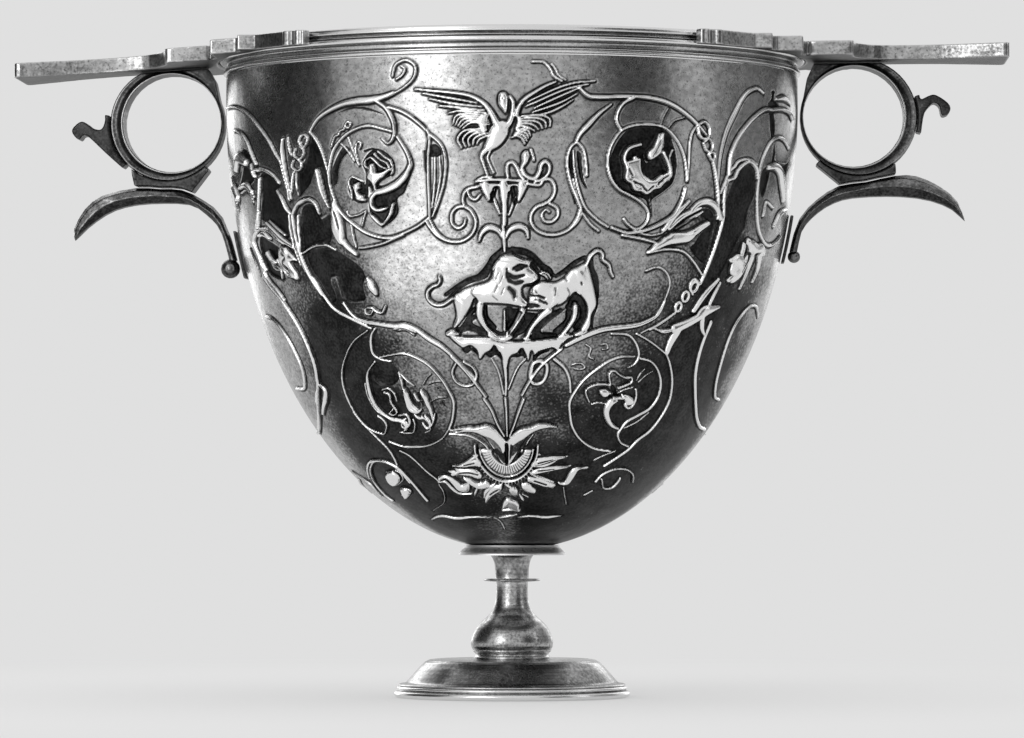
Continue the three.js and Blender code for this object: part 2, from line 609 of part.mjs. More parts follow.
// Half of the thumb plate's plan, from the middle of the tip round to the end of one arm.
function platePlanHalf() {
  const root = PLATE_INNER_RADIUS;
  const lobe = FIRST_LOBE;
  const tongue = PLATE_TIP_REACH - root;
  const waist = root + tongue * PLATE_WAIST_AT;
  const path = new THREE.Path();
  path.moveTo(PLATE_TIP_REACH, 0);
  path.lineTo(PLATE_TIP_REACH, PLATE_TIP_HALF_WIDTH - PLATE_CORNER);
  path.quadraticCurveTo(
    PLATE_TIP_REACH,
    PLATE_TIP_HALF_WIDTH,
    PLATE_TIP_REACH - PLATE_CORNER,
    PLATE_TIP_HALF_WIDTH,
  );
  path.splineThru(
    [
      [waist + tongue * 0.28, PLATE_WAIST_HALF_WIDTH + 2.4],
      [waist + tongue * 0.12, PLATE_WAIST_HALF_WIDTH + 0.5],
      [waist - tongue * 0.08, PLATE_WAIST_HALF_WIDTH],
      [waist - tongue * 0.22, PLATE_WAIST_HALF_WIDTH + 1.2],
      [root + lobe.far + 0.6, (PLATE_WAIST_HALF_WIDTH + lobe.halfWidth) / 2],
      [root + lobe.far, lobe.halfWidth - PLATE_CORNER],
    ].map(([x, y]) => new THREE.Vector2(x, y)),
  );
  path.quadraticCurveTo(
    root + lobe.far,
    lobe.halfWidth,
    root + lobe.far - PLATE_CORNER,
    lobe.halfWidth,
  );
  path.lineTo(root + lobe.near + PLATE_CORNER, lobe.halfWidth);
  path.quadraticCurveTo(
    root + lobe.near,
    lobe.halfWidth,
    root + lobe.near,
    lobe.halfWidth - PLATE_CORNER,
  );
  const stations = [];
  for (const { start, peak, end } of ARM_LOBES) {
    stations.push(start, peak - 0.7, peak, end);
  }
  for (const { at, half } of ARM_BEADS) {
    stations.push(...[-1, -0.7, 0, 0.7, 1].map((share) => at + half * share));
  }
  stations.push(ARM_END_ANGLE);
  const arm = stations.map((angle) => {
    const radius = ARM_RADIUS + armRise(angle);
    const turn = radians(angle);
    return [radius * Math.cos(turn), radius * Math.sin(turn)];
  });
  return [...path.getPoints(3).map((point) => [point.x, point.y]), ...arm];
}

// Height lost by a bent-down plate at a reach from the cup's axis.
function droopAt(reach, droop) {
  return droop * Math.max(0, reach - PLATE_DROOP_START);
}

function thumbPlate(side) {
  const half = platePlanHalf();
  const inner = arc(0, PLATE_INNER_RADIUS, ARM_END_ANGLE, -ARM_END_ANGLE, 24);
  const mirrored = half
    .slice(1)
    .map(([x, y]) => [x, -y])
    .reverse();
  const plan = [...half, ...inner, ...mirrored].map(([x, y]) => new THREE.Vector2(x, y));
  const geometry = new THREE.ExtrudeGeometry(new THREE.Shape(plan), {
    depth: PLATE_THICKNESS,
    bevelEnabled: false,
  });
  geometry.translate(0, 0, RIM_TOP - PLATE_THICKNESS);
  const position = geometry.getAttribute("position");
  for (let i = 0; i < position.count; i += 1) {
    position.setZ(i, position.getZ(i) - droopAt(position.getX(i), side.droop));
  }
  return geometry;
}

// The centre of a finger ring's bore, close to the wall and close under the plate.
function ringCentre(side) {
  const reach = BOWL_RADIUS + SEAT_GAP + RING_BAR + side.boreRadius;
  const underPlate = RIM_TOP - PLATE_THICKNESS - droopAt(reach, side.droop);
  return { reach, height: underPlate - SEAT_GAP - RING_BAR - side.boreRadius };
}

// The finger ring: a round bore in a thicker lune, flared and cut flat under the plate.
function fingerRing(side) {
  const radius = side.boreRadius + LUNE_EXTRA;
  const flat = side.boreRadius + RING_BAR;
  const cut = THREE.MathUtils.radToDeg(Math.asin(flat / radius));
  const lune = arc(LUNE_SHIFT, radius, cut, RING_FLARE.from - 360, RING_FACETS);
  const [midReach, midHeight] = RING_FLARE.mid;
  const outline = [...lune, [-midReach, midHeight], [-RING_FLARE.reach, flat]];
  const shape = new THREE.Shape(outline.map(([x, y]) => new THREE.Vector2(x, y)));
  const bore = arc(0, side.boreRadius, 0, 360, RING_FACETS).slice(0, -1);
  shape.holes.push(new THREE.Path(bore.map(([x, y]) => new THREE.Vector2(x, y))));
  const round = RING_BAR / 3;
  const geometry = new THREE.ExtrudeGeometry(shape, {
    depth: RING_WIDTH - 2 * round,
    bevelThickness: round,
    bevelSize: round,
    bevelOffset: -round,
    bevelSegments: 1,
    curveSegments: 1,
  });
  return geometry.translate(0, 0, round - RING_WIDTH / 2).rotateX(Math.PI / 2);
}

// The hooked leaf spur seated on the outside of the ring.
function spurLeaf(side) {
  const seat = side.boreRadius + LUNE_EXTRA + SEAT_GAP;
  const [from, to] = side.spurRoot;
  const root = arc(LUNE_SHIFT, seat, to, from, 8);
  const start = outward(root.at(-1), LUNE_SHIFT, BLUNT_EDGE);
  const end = outward(root[0], LUNE_SHIFT, BLUNT_EDGE);
  const hook = smooth([start, ...side.spurTop, ...side.spurUnder, end], 34);
  return frontPlate([...root, ...hook], SPUR_WIDTH);
}

// The crescent's two long edges as [outward, up] from the ring's centre.
// Both start beside the pad on the wall, just above the ball, and meet at the tip.
function crescentEdges(side) {
  const centre = ringCentre(side);
  const endHeight = -side.ballDrop + side.ballRadius + SEAT_GAP;
  const wall = wallRadius(centre.height + endHeight) - centre.reach;
  const nearPad = wall + SEAT_GAP + PAD_THICKNESS + SEAT_GAP;
  return {
    top: smooth([[nearPad, endHeight], ...side.crescentTop, side.crescentTip], CRESCENT_STEPS),
    under: smooth(
      [[nearPad + CRESCENT_END_DEPTH, endHeight], ...side.crescentUnder, side.crescentTip],
      CRESCENT_STEPS,
    ),
  };
}

// The saddle that joins the ring to the crescent below it.
function ringNeck(side) {
  const seat = side.boreRadius + LUNE_EXTRA + SEAT_GAP;
  const cradle = arc(LUNE_SHIFT, seat, NECK_FROM, NECK_TO, 12);
  const [left, right] = [cradle[0][0], cradle.at(-1)[0]];
  const rest = crescentEdges(side)
    .top.filter(([x]) => x > left + 2 && x < right)
    .map(([x, z]) => [x, z + SEAT_GAP])
    .reverse();
  return frontPlate([...cradle, ...rest, outward(cradle[0], LUNE_SHIFT, BLUNT_EDGE)], NECK_WIDTH);
}

// A ribbed leaf section, as [share of the way up, share of the half width].
const LEAF_SECTION = [
  [0, 0.5],
  [0.42, 1],
  [0.8, 0.8],
  [1, 0.3],
  [1, -0.3],
  [0.8, -0.8],
  [0.42, -1],
  [0, -0.5],
];

// The crescent-shaped leaf: sections between its two edges, drawn out to a point.
function crescentRest(side) {
  const { top, under } = crescentEdges(side);
  const around = LEAF_SECTION.length;
  const positions = [];
  const faces = [];
  for (let step = 0; step < CRESCENT_STEPS; step += 1) {
    const along = step / CRESCENT_STEPS;
    const belly = Math.sin(Math.PI * Math.min(1, 0.12 + along * 0.85));
    const halfWidth = (CRESCENT_END_WIDTH + (CRESCENT_WIDTH - CRESCENT_END_WIDTH) * belly) / 2;
    for (const [up, out] of LEAF_SECTION) {
      const x = under[step][0] + (top[step][0] - under[step][0]) * up;
      const z = under[step][1] + (top[step][1] - under[step][1]) * up;
      positions.push(x, out * halfWidth, z);
    }
  }
  const tip = CRESCENT_STEPS * around;
  positions.push(side.crescentTip[0], 0, side.crescentTip[1]);
  for (let step = 0; step < CRESCENT_STEPS; step += 1) {
    for (let i = 0; i < around; i += 1) {
      const a = step * around + i;
      const b = step * around + ((i + 1) % around);
      if (step === CRESCENT_STEPS - 1) {
        faces.push(a, b, tip);
      } else {
        faces.push(a, b + around, a + around, a, b, b + around);
      }
    }
  }
  for (let i = 1; i < around - 1; i += 1) faces.push(0, i + 1, i);
  const geometry = new THREE.BufferGeometry();
  geometry.setAttribute("position", new THREE.Float32BufferAttribute(positions, 3));
  geometry.setIndex(faces);
  geometry.computeVertexNormals();
  return geometry;
}

// The thin pad soldered to the wall, curved to fit it.
function wallPad(side) {
  const centre = ringCentre(side);
  const base = centre.height - side.ballDrop - side.ballRadius;
  const geometry = new THREE.BoxGeometry(1, 1, 1, 1, 4, 6);
  const position = geometry.getAttribute("position");
  for (let i = 0; i < position.count; i += 1) {
    const height = base + PAD_HEIGHT * (position.getZ(i) + 0.5);
    const radius = wallRadius(height) + SEAT_GAP + PAD_THICKNESS * (position.getX(i) + 0.5);
    const angle = (PAD_WIDTH * position.getY(i)) / BOWL_RADIUS;
    position.setXYZ(i, radius * Math.cos(angle), radius * Math.sin(angle), height);
  }
  return geometry;
}

function ballTerminal(side) {
  const centre = ringCentre(side);
  const height = centre.height - side.ballDrop;
  const reach = wallRadius(height) + SEAT_GAP + PAD_THICKNESS + SEAT_GAP + side.ballRadius;
  return new THREE.SphereGeometry(side.ballRadius, BALL_FACETS, BALL_FACETS / 2).translate(reach, 0, height);
}

// One handle, built as if it pointed along +X and then turned to its own side.
function handle(name, side) {
  const group = new THREE.Group();
  group.rotation.z = side.turn;
  const centre = ringCentre(side);
  const hanging = new THREE.Group();
  hanging.position.set(centre.reach, 0, centre.height);
  const ring = piece(`${name}_finger_ring`, fingerRing(side), DARK_SILVER);
  ring.rotation.y = Math.atan(side.droop);
  hanging.add(
    ring,
    piece(`${name}_spur_leaf`, spurLeaf(side), DARK_SILVER),
    piece(`${name}_ring_neck`, ringNeck(side), DARK_SILVER),
    piece(`${name}_crescent_rest`, crescentRest(side), DARK_SILVER),
  );
  group.add(
    hanging,
    piece(`${name}_thumb_plate`, thumbPlate(side), WORN_SILVER),
    piece(`${name}_wall_pad`, wallPad(side), DARK_SILVER),
    piece(`${name}_ball_terminal`, ballTerminal(side), WORN_SILVER),
  );
  return group;
}

const cup = new THREE.Group();
cup.add(
  piece("foot_edge_ring", footEdgeRing(), WORN_SILVER),
  piece("foot_dome", footDome(), DARK_SILVER),
  piece("stem_baluster", stemBaluster(), DARK_SILVER),
  piece("stem_disc", stemDisc(), WORN_SILVER),
  piece("upper_stem", upperStem(), DARK_SILVER),
  piece("stem_collar", stemCollar(), WORN_SILVER),
  piece("bowl_casing", bowlCasing(), CHASED_SILVER),
  piece("bowl_liner", bowlShell(CASING_WALL + SEAT_GAP, LINER_WALL), WORN_SILVER),
  piece("rim_moulding", rimMoulding(), WORN_SILVER),
  handle("right", HANDLES.right),
  handle("left", HANDLES.left),
);

export default cup;
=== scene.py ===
import math

import bpy
import numpy as np
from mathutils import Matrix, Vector


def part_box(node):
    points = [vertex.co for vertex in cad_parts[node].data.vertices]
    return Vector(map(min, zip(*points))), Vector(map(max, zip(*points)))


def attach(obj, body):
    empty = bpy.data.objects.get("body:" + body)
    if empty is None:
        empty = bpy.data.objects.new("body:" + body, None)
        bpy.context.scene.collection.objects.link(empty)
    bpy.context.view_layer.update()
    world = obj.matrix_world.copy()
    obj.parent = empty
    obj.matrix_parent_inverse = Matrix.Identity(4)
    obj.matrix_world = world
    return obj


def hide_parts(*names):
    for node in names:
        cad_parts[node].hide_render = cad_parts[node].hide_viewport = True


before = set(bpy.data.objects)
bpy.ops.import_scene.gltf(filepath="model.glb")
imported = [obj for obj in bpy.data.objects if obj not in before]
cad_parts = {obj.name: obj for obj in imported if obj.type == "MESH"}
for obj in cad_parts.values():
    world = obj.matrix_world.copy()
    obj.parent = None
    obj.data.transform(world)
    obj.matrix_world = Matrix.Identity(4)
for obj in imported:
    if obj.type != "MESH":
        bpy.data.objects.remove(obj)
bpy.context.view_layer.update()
scene = bpy.context.scene
scene.view_settings.view_transform = "Standard"

# The camera stands about a metre off, a little above the table and a little round to the right,
# as the photograph was taken.
EYE_DISTANCE = 1.007
EYE_HEIGHT = 0.0374
EYE_TURN = math.radians(2.3)
LENS_MM = 186.3
SENSOR_MM = 36.0
AIM = Vector((0, 0, 0.0623))


def added(name, data):
    """A new object in the scene."""
    thing = bpy.data.objects.new(name, data)
    scene.collection.objects.link(thing)
    return thing


def facing(place, target, front):
    """The rotation that turns an object's front from its place towards a target."""
    return (target - place).to_track_quat(front, "Y").to_euler()


camera_data = bpy.data.cameras.new("camera")
camera_data.lens = LENS_MM
camera_data.sensor_width = SENSOR_MM
camera = added("camera", camera_data)
camera.location = (EYE_DISTANCE * math.sin(EYE_TURN), -EYE_DISTANCE * math.cos(EYE_TURN), EYE_HEIGHT)
camera.rotation_euler = facing(camera.location, AIM, "-Z")
scene.camera = camera

# The foot ring: a cast silver ring that the cup stands on, turned with a round lower band and a
# narrow upper one. It is old silver, bright where it is rubbed and dark where tarnish stays.
MM = 0.001
TURNED_FACETS = 192
FOOT_RING_WIDTH = 3.8
EASE_LIMIT = 0.45


def joined(tree, socket, value):
    """Sets a socket to a plain value, or feeds it from another node's output."""
    if isinstance(value, bpy.types.NodeSocket):
        tree.links.new(value, socket)
    else:
        socket.default_value = value


def reckon(tree, operation, first, second, clamp=False):
    """One step of arithmetic in a material, for single values."""
    node = tree.nodes.new("ShaderNodeMath")
    node.operation = operation
    node.use_clamp = clamp
    joined(tree, node.inputs[0], first)
    joined(tree, node.inputs[1], second)
    return node.outputs[0]


def blended(tree, share, first, second):
    """A mix of two greys, given as values from black to white."""
    node = tree.nodes.new("ShaderNodeMix")
    joined(tree, node.inputs["Factor"], share)
    joined(tree, node.inputs["A"], first)
    joined(tree, node.inputs["B"], second)
    return node.outputs["Result"]


def stretch(tree, value, low, high, least=0.0):
    """Nought, or a least value, below one value, one above another, and eased between them."""
    node = tree.nodes.new("ShaderNodeMapRange")
    node.interpolation_type = "SMOOTHSTEP"
    joined(tree, node.inputs["Value"], value)
    joined(tree, node.inputs["From Min"], low)
    joined(tree, node.inputs["From Max"], high)
    node.inputs["To Min"].default_value = least
    return node.outputs["Result"]


def effect(name, inputs, outputs):
    """An empty node group with named inputs and outputs."""
    group = bpy.data.node_groups.new(name, "ShaderNodeTree")
    for label, value in inputs.items():
        socket = group.interface.new_socket(label, in_out="INPUT", socket_type="NodeSocketFloat")
        socket.default_value = value
    for label in outputs:
        group.interface.new_socket(label, in_out="OUTPUT", socket_type="NodeSocketFloat")
    return group, group.nodes.new("NodeGroupInput").outputs, group.nodes.new("NodeGroupOutput").inputs


def clouds(tree, size, detail, spread=(1, 1, 1)):
    """Soft noise whose patches are about a given size in millimetres, stretched along an axis."""
    place = tree.nodes.new("ShaderNodeTexCoord")
    pull = tree.nodes.new("ShaderNodeVectorMath")
    pull.operation = "MULTIPLY"
    tree.links.new(place.outputs["Object"], pull.inputs[0])
    pull.inputs[1].default_value = spread
    node = tree.nodes.new("ShaderNodeTexNoise")
    tree.links.new(pull.outputs[0], node.inputs["Vector"])
    joined(tree, node.inputs["Scale"], reckon(tree, "DIVIDE", 1 / MM, size))
    node.inputs["Detail"].default_value = detail
    return node.outputs["Fac"]


def marked(tree, label):
    """The value that a mesh carries at each point under a label."""
    node = tree.nodes.new("ShaderNodeAttribute")
    node.attribute_name = label
    return node.outputs["Fac"]


# Tarnish: dark film in broad clouds and small specks, thick in the hollows and rubbed off what
# stands proud. The hollow mark on each mesh is a half on flat metal and more in a hollow. On the
# bowl it is also more on the shadow side of each form, which is painted shade. The second mark
# thickens the film. On the bowl it grows towards the bottom and also holds painted shade and painted
# highlight. On the handles it is more on the faces turned downwards.
CLOUD_SHARE = 0.45
FILM_AND_SHADE_SHARE = 0.45
FILM_BELOW, FILM_ABOVE = 0.1, 0.22
POOLED = (0.52, 0.86)
RUBBED = (0.54, 0.8)
MOTTLE_SIZE, MOTTLE_SHARE = 3.2, 0.55
PIT_SIZE, PITTED = 0.9, (0.56, 0.7)
tarnish, given, put = effect(
    "tarnish",
    {"Cloud Size": 14.0, "Speck Size": 0.9, "Cover": 0.5, "Hollow Depth": 1.0, "Rub": 1.0},
    ("Film", "Rubbed", "Mottle", "Pitting"),
)
hollow_and_shade = marked(tarnish, "hollow_and_shade")
broad = reckon(tarnish, "MULTIPLY", clouds(tarnish, given["Cloud Size"], 2), CLOUD_SHARE)
specks = clouds(tarnish, given["Speck Size"], 3)
patchy = reckon(tarnish, "ADD", broad, reckon(tarnish, "MULTIPLY", specks, 1 - CLOUD_SHARE))
edge = reckon(tarnish, "SUBTRACT", 1.0, given["Cover"])
edge = reckon(tarnish, "SUBTRACT", edge, reckon(tarnish, "MULTIPLY", marked(tarnish, "film_and_shade"), FILM_AND_SHADE_SHARE))
film_from = reckon(tarnish, "SUBTRACT", edge, FILM_BELOW)
film = stretch(tarnish, patchy, film_from, reckon(tarnish, "ADD", edge, FILM_ABOVE))
pooled = reckon(tarnish, "MULTIPLY", stretch(tarnish, hollow_and_shade, *POOLED), given["Hollow Depth"])
rubbed = stretch(tarnish, reckon(tarnish, "SUBTRACT", 1.0, hollow_and_shade), *RUBBED)
rubbed = reckon(tarnish, "MULTIPLY", rubbed, given["Rub"], clamp=True)
kept = reckon(tarnish, "MULTIPLY", film, reckon(tarnish, "SUBTRACT", 1.0, rubbed))
joined(tarnish, put["Film"], reckon(tarnish, "MAXIMUM", kept, pooled, clamp=True))
joined(tarnish, put["Rubbed"], rubbed)
joined(tarnish, put["Mottle"], blended(tarnish, MOTTLE_SHARE, clouds(tarnish, MOTTLE_SIZE, 6), specks))
pits = clouds(tarnish, reckon(tarnish, "MULTIPLY", given["Speck Size"], PIT_SIZE), 2)
joined(tarnish, put["Pitting"], stretch(tarnish, pits, *PITTED))

# Wear marks: the fine lines of turning and polishing, and small dents.
ROUND_LINES = (0.04, 0.04, 1.0)
LOOSE_LINES = (0.35, 0.35, 0.5)
LINE_HEIGHT = 0.35
marks, given, put = effect(
    "wear_marks", {"Line Size": 0.5, "Dent Size": 4.0, "Around": 1.0}, ("Height", "Lines")
)
lines_round = clouds(marks, given["Line Size"], 3, ROUND_LINES)
lines_any = clouds(marks, given["Line Size"], 4, LOOSE_LINES)
lines = blended(marks, given["Around"], lines_any, lines_round)
dents = clouds(marks, given["Dent Size"], 1)
joined(marks, put["Height"], reckon(marks, "ADD", reckon(marks, "MULTIPLY", lines, LINE_HEIGHT), dents))
joined(marks, put["Lines"], lines)

LINES_SEEN, LINE_TONES = (0.25, 0.75), (0.72, 1.2)
MOTTLE_SEEN, MOTTLE_TONES = (0.36, 0.66), (0.5, 2.6)


def old_silver(
    name, bright, dull, dark, rough, cover, turned_lines=1.0, relief=0.05, pitted=0.55, film_rough=0.16,
    **tarnish_values
):
    """Old silver: three greys for rubbed, plain and tarnished metal."""
    material = bpy.data.materials.new(name)
    material.use_nodes = True
    tree = material.node_tree
    shader = tree.nodes["Principled BSDF"]
    shader.inputs["Metallic"].default_value = 1.0
    film = tree.nodes.new("ShaderNodeGroup")
    film.node_tree = tarnish
    film.inputs["Cover"].default_value = cover
    for label, value in tarnish_values.items():
        film.inputs[label.replace("_", " ").title()].default_value = value
    wear = tree.nodes.new("ShaderNodeGroup")
    wear.node_tree = marks
    wear.inputs["Around"].default_value = turned_lines
    lines = stretch(tree, wear.outputs["Lines"], *LINES_SEEN)
    plain = blended(tree, lines, *(dull * tone for tone in LINE_TONES))
    plain = reckon(tree, "MULTIPLY", plain, blended(tree, film.outputs["Pitting"], 1.0, 1.0 - pitted))
    rubbed = blended(tree, film.outputs["Rubbed"], plain, bright)
    mottle = stretch(tree, film.outputs["Mottle"], *MOTTLE_SEEN)
    uneven = blended(tree, mottle, *(dark * tone for tone in MOTTLE_TONES))
    tone = blended(tree, film.outputs["Film"], rubbed, uneven)
    grey = tree.nodes.new("ShaderNodeCombineColor")
    for channel in ("Red", "Green", "Blue"):
        joined(tree, grey.inputs[channel], tone)
    joined(tree, shader.inputs["Base Color"], grey.outputs["Color"])
    joined(tree, shader.inputs["Roughness"], blended(tree, film.outputs["Film"], rough, rough + film_rough))
    bump = tree.nodes.new("ShaderNodeBump")
    bump.inputs["Strength"].default_value = 1.0
    bump.inputs["Distance"].default_value = relief * MM
    joined(tree, bump.inputs["Height"], wear.outputs["Height"])
    joined(tree, shader.inputs["Normal"], bump.outputs["Normal"])
    return material


def shaped(name, points, *faces):
    """A mesh from points in millimetres and arrays of faces, smooth all over."""
    corners = np.concatenate([np.asarray(group).ravel() for group in faces])
    counts = np.concatenate([np.full(len(group), np.shape(group)[1]) for group in faces])
    starts = np.concatenate([[0], np.cumsum(counts)[:-1]])
    mesh = bpy.data.meshes.new(name)
    mesh.vertices.add(len(points))
    mesh.vertices.foreach_set("co", (np.asarray(points, dtype=np.float32) * MM).ravel())
    mesh.loops.add(len(corners))
    mesh.loops.foreach_set("vertex_index", corners.astype(np.int32))
    mesh.polygons.add(len(counts))
    mesh.polygons.foreach_set("loop_start", starts.astype(np.int32))
    mesh.polygons.foreach_set("use_smooth", np.ones(len(counts), dtype=bool))
    mesh.update(calc_edges=True)
    mesh.validate()
    return mesh


def rows_of(items, label, width, kind=float):
    """A mesh's values of one kind, with a row for each item."""
    values = np.empty(len(items) * width, dtype=kind)
    items.foreach_get(label, values)
    return values.reshape(-1, width)


def mark(mesh, label, values):
    """Gives each point of a mesh a value that the materials read."""
    mesh.attributes.new(label, "FLOAT", "POINT").data.foreach_set("value", values.astype(np.float32))


def mark_hollows(mesh, passes, depth):
    """Marks each point as hollow or proud against the metal round it, by a depth in millimetres."""
    places = rows_of(mesh.vertices, "co", 3)
    near, far = rows_of(mesh.edges, "vertices", 2, np.int32).T
    ends = np.concatenate([near, far])
    others = np.concatenate([far, near])
    degree = np.maximum(np.bincount(ends, minlength=len(places)), 1)[:, None]
    soft = places
    for _ in range(passes):
        sums = [np.bincount(ends, soft[others, axis], minlength=len(places)) for axis in range(3)]
        soft = (soft + np.stack(sums, axis=1) / degree) / 2
    lift = ((soft - places) * rows_of(mesh.vertices, "normal", 3)).sum(axis=1) / MM
    mark(mesh, "hollow_and_shade", np.clip(0.5 + lift / depth, 0, 1))


def dressed(name, mesh, node, slot, material, passes=30, depth=0.5, sharp=40.0, hollows_and_shade=True):
    """Makes a mesh a piece of the cup, in place of a solid, with its finish."""
    if sharp:
        mesh.set_sharp_from_angle(angle=math.radians(sharp))
    if hollows_and_shade:
        mark_hollows(mesh, passes, depth)
    mesh.materials.append(material)
    piece = added(name, mesh)
    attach(piece, "root")
    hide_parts(node)


def eased(corners, radius, steps=4):
    """A closed outline with each corner rounded off."""
    corners = np.asarray(corners, dtype=float)
    out = []
    for before, corner, after in zip(np.roll(corners, 1, axis=0), corners, np.roll(corners, -1, axis=0)):
        ways = [before - corner, after - corner]
        lengths = [max(np.linalg.norm(way), 1e-9) for way in ways]
        reach = [min(radius, length * EASE_LIMIT) / length for length in lengths]
        start = corner + ways[0] * reach[0]
        end = corner + ways[1] * reach[1]
        for step in np.linspace(0, 1, steps + 1):
            out.append(start * (1 - step) ** 2 + corner * 2 * step * (1 - step) + end * step**2)
    return np.array(out)


def flowing(points, step, closed=False):
    """Points about a step apart on a smooth curve through the given ones, values and all."""
    points = np.asarray(points, dtype=float)
    if closed:
        points = np.vstack([points[-1], points, points[0], points[1]])
    else:
        points = np.vstack([2 * points[0] - points[1], points, 2 * points[-1] - points[-2]])
    out = []
    for a, b, c, d in zip(points[:-3], points[1:-2], points[2:-1], points[3:]):
        count = max(1, math.ceil(np.linalg.norm(c[:2] - b[:2]) / step))
        t = np.linspace(0, 1, count, endpoint=False)[:, None]
        bend = (2 * a - 5 * b + 4 * c - d) * t**2 + (3 * b - a - 3 * c + d) * t**3
        out.append(0.5 * (2 * b + (c - a) * t + bend))
    if not closed:
        out.append(points[-2:-1])
    return np.vstack(out)


def turned(name, section):
    """A turned piece from its closed half section as [radius, height]."""
    section = np.asarray(section, dtype=float)
    ahead = np.roll(section, -1, axis=0)
    if (section[:, 0] * ahead[:, 1] - ahead[:, 0] * section[:, 1]).sum() < 0:
        section = section[::-1]
    angle = np.arange(TURNED_FACETS) * math.tau / TURNED_FACETS
    radius, height = section[:, :1], section[:, 1:]
    rings = [radius * np.cos(angle), radius * np.sin(angle), height + 0 * angle]
    index = np.arange(len(section) * TURNED_FACETS).reshape(len(section), TURNED_FACETS)
    above = np.roll(index, -1, axis=0)
    corners = [index, np.roll(index, -1, axis=1), np.roll(above, -1, axis=1), above]
    return shaped(name, np.stack(rings, axis=2).reshape(-1, 3), np.stack(corners, axis=2).reshape(-1, 4))


def levels(node):
    """A turned solid's lowest and highest levels and its radius, in millimetres."""
    low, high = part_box(node)
    return low[2] / MM, high[2] / MM, high[0] / MM


worn_silver = old_silver(
    "worn_silver", bright=0.78, dull=0.48, dark=0.05, rough=0.26, cover=0.48, hollow_depth=1.4
)
foot_radius = levels("foot_edge_ring")[2]
foot_bore = foot_radius - FOOT_RING_WIDTH
ledge_height, dome_top, flange = levels("foot_dome")
foot_section = eased(
    [
        (foot_bore, 0.0), (foot_radius - 0.7, 0.0), (foot_radius - 0.15, 0.25), (foot_radius, 0.7),
        (foot_radius - 0.2, 1.15), (foot_radius - 0.65, 1.35), (foot_radius - 0.85, 1.45),
        (foot_radius - 0.6, 1.6), (foot_radius - 0.5, 1.85), (foot_radius - 0.75, ledge_height - 0.04),
        (foot_bore + 0.5, ledge_height - 0.04), (foot_bore, ledge_height - 0.4),
    ],
    0.16,
)
foot_ring = turned("foot_ring", foot_section)
dressed("foot_ring", foot_ring, "foot_edge_ring", "worn_silver", worn_silver, depth=0.35)

# The foot: a low hollow dome of hammered silver with a turned-out flange, soldered into the ring
# and bored for the stem's tenon.
DOME_BORE = 2.9
DOME_WALL = 1.1
dark_silver = old_silver(
    "dark_silver", bright=0.85, dull=0.42, dark=0.045, rough=0.2, cover=0.53, rub=0.7, film_rough=0.1,
    pitted=0.4, speck_size=0.6, cloud_size=6.0,
)
dome_section = eased(
    [
        (DOME_BORE, dome_top - DOME_WALL), (14.6, dome_top - DOME_WALL), (15.4, dome_top - DOME_WALL - 0.5),
        (18.6, 3.2), (19.0, ledge_height), (flange - 0.15, ledge_height), (flange, ledge_height + 0.2),
        (flange - 0.25, ledge_height + 0.42), (20.5, ledge_height + 0.5), (20.0, ledge_height + 0.75),
        (19.0, 4.1), (17.6, 5.7), (16.6, 6.7), (16.35, 6.8), (15.9, 7.1), (14.8, dome_top - 0.05),
        (8.2, dome_top), (8.0, dome_top + 0.1), (DOME_BORE, dome_top + 0.1),
    ],
    0.3,
)
dressed("foot", turned("foot", dome_section), "foot_dome", "dark_silver", dark_silver, depth=0.6)

# The stem: a cast and turned baluster with a full bulb over a small grooved foot.
# A tenon at each end holds it in the foot and in the upper stem.
STEM_BULB = [
    (7.3, 0.0), (7.32, 0.25), (7.05, 0.5), (6.95, 0.75), (7.1, 1.0), (7.5, 1.35), (7.45, 1.55), (7.72, 2.1),
    (7.8, 2.9), (7.7, 3.7), (7.35, 4.6), (6.8, 5.6), (6.05, 6.5), (5.1, 7.35), (4.3, 8.1), (3.75, 8.9),
    (3.35, 9.8), (3.12, 10.8), (3.04, 11.9), (3.02, 12.8), (3.03, 13.5), (3.05, 14.0),
]
tenon_low, tenon_high, _ = levels("stem_baluster")
disc_base, disc_top, disc_radius = levels("stem_disc")
bulb_base, bulb_top = dome_top + 0.14, disc_base - 0.1
bulb = np.array(STEM_BULB)
bulb[:, 1] = bulb_base + bulb[:, 1] * (bulb_top - bulb_base) / bulb[-1, 1]
stem_section = np.vstack(
    [
        [(0.05, tenon_low), (2.5, tenon_low), (2.6, tenon_low + 0.15), (2.6, bulb_base)],
        flowing(bulb, 0.25),
        [(1.7, bulb_top), (1.7, tenon_high - 0.1), (1.6, tenon_high), (0.05, tenon_high)],
    ]
)
stem_silver = old_silver(
    "stem_silver", bright=0.85, dull=0.5, dark=0.045, rough=0.24, cover=0.49, rub=0.3, film_rough=0.1,
    pitted=0.5, speck_size=0.5, cloud_size=5.0,
)
dressed("stem", turned("stem", stem_section), "stem_baluster", "dark_silver", stem_silver, depth=1.0)

# The stem's disc: a thin round of silver sheet, threaded on the tenon between the baluster and the
# upper stem, with its edge hammered up a little.
disc_section = eased(
    [
        (1.85, disc_base), (3.6, disc_base), (disc_radius - 0.7, disc_base + 0.1),
        (disc_radius - 0.1, disc_base + 0.16), (disc_radius, disc_base + 0.36), (disc_radius - 0.2, disc_top),
        (disc_radius - 0.75, disc_top - 0.08), (disc_radius - 1.1, disc_top - 0.2), (1.85, disc_top - 0.15),
    ],
    0.12,
)
stem_ring = turned("stem_ring", disc_section)
dressed("stem_ring", stem_ring, "stem_disc", "worn_silver", dark_silver, passes=12, depth=0.3)

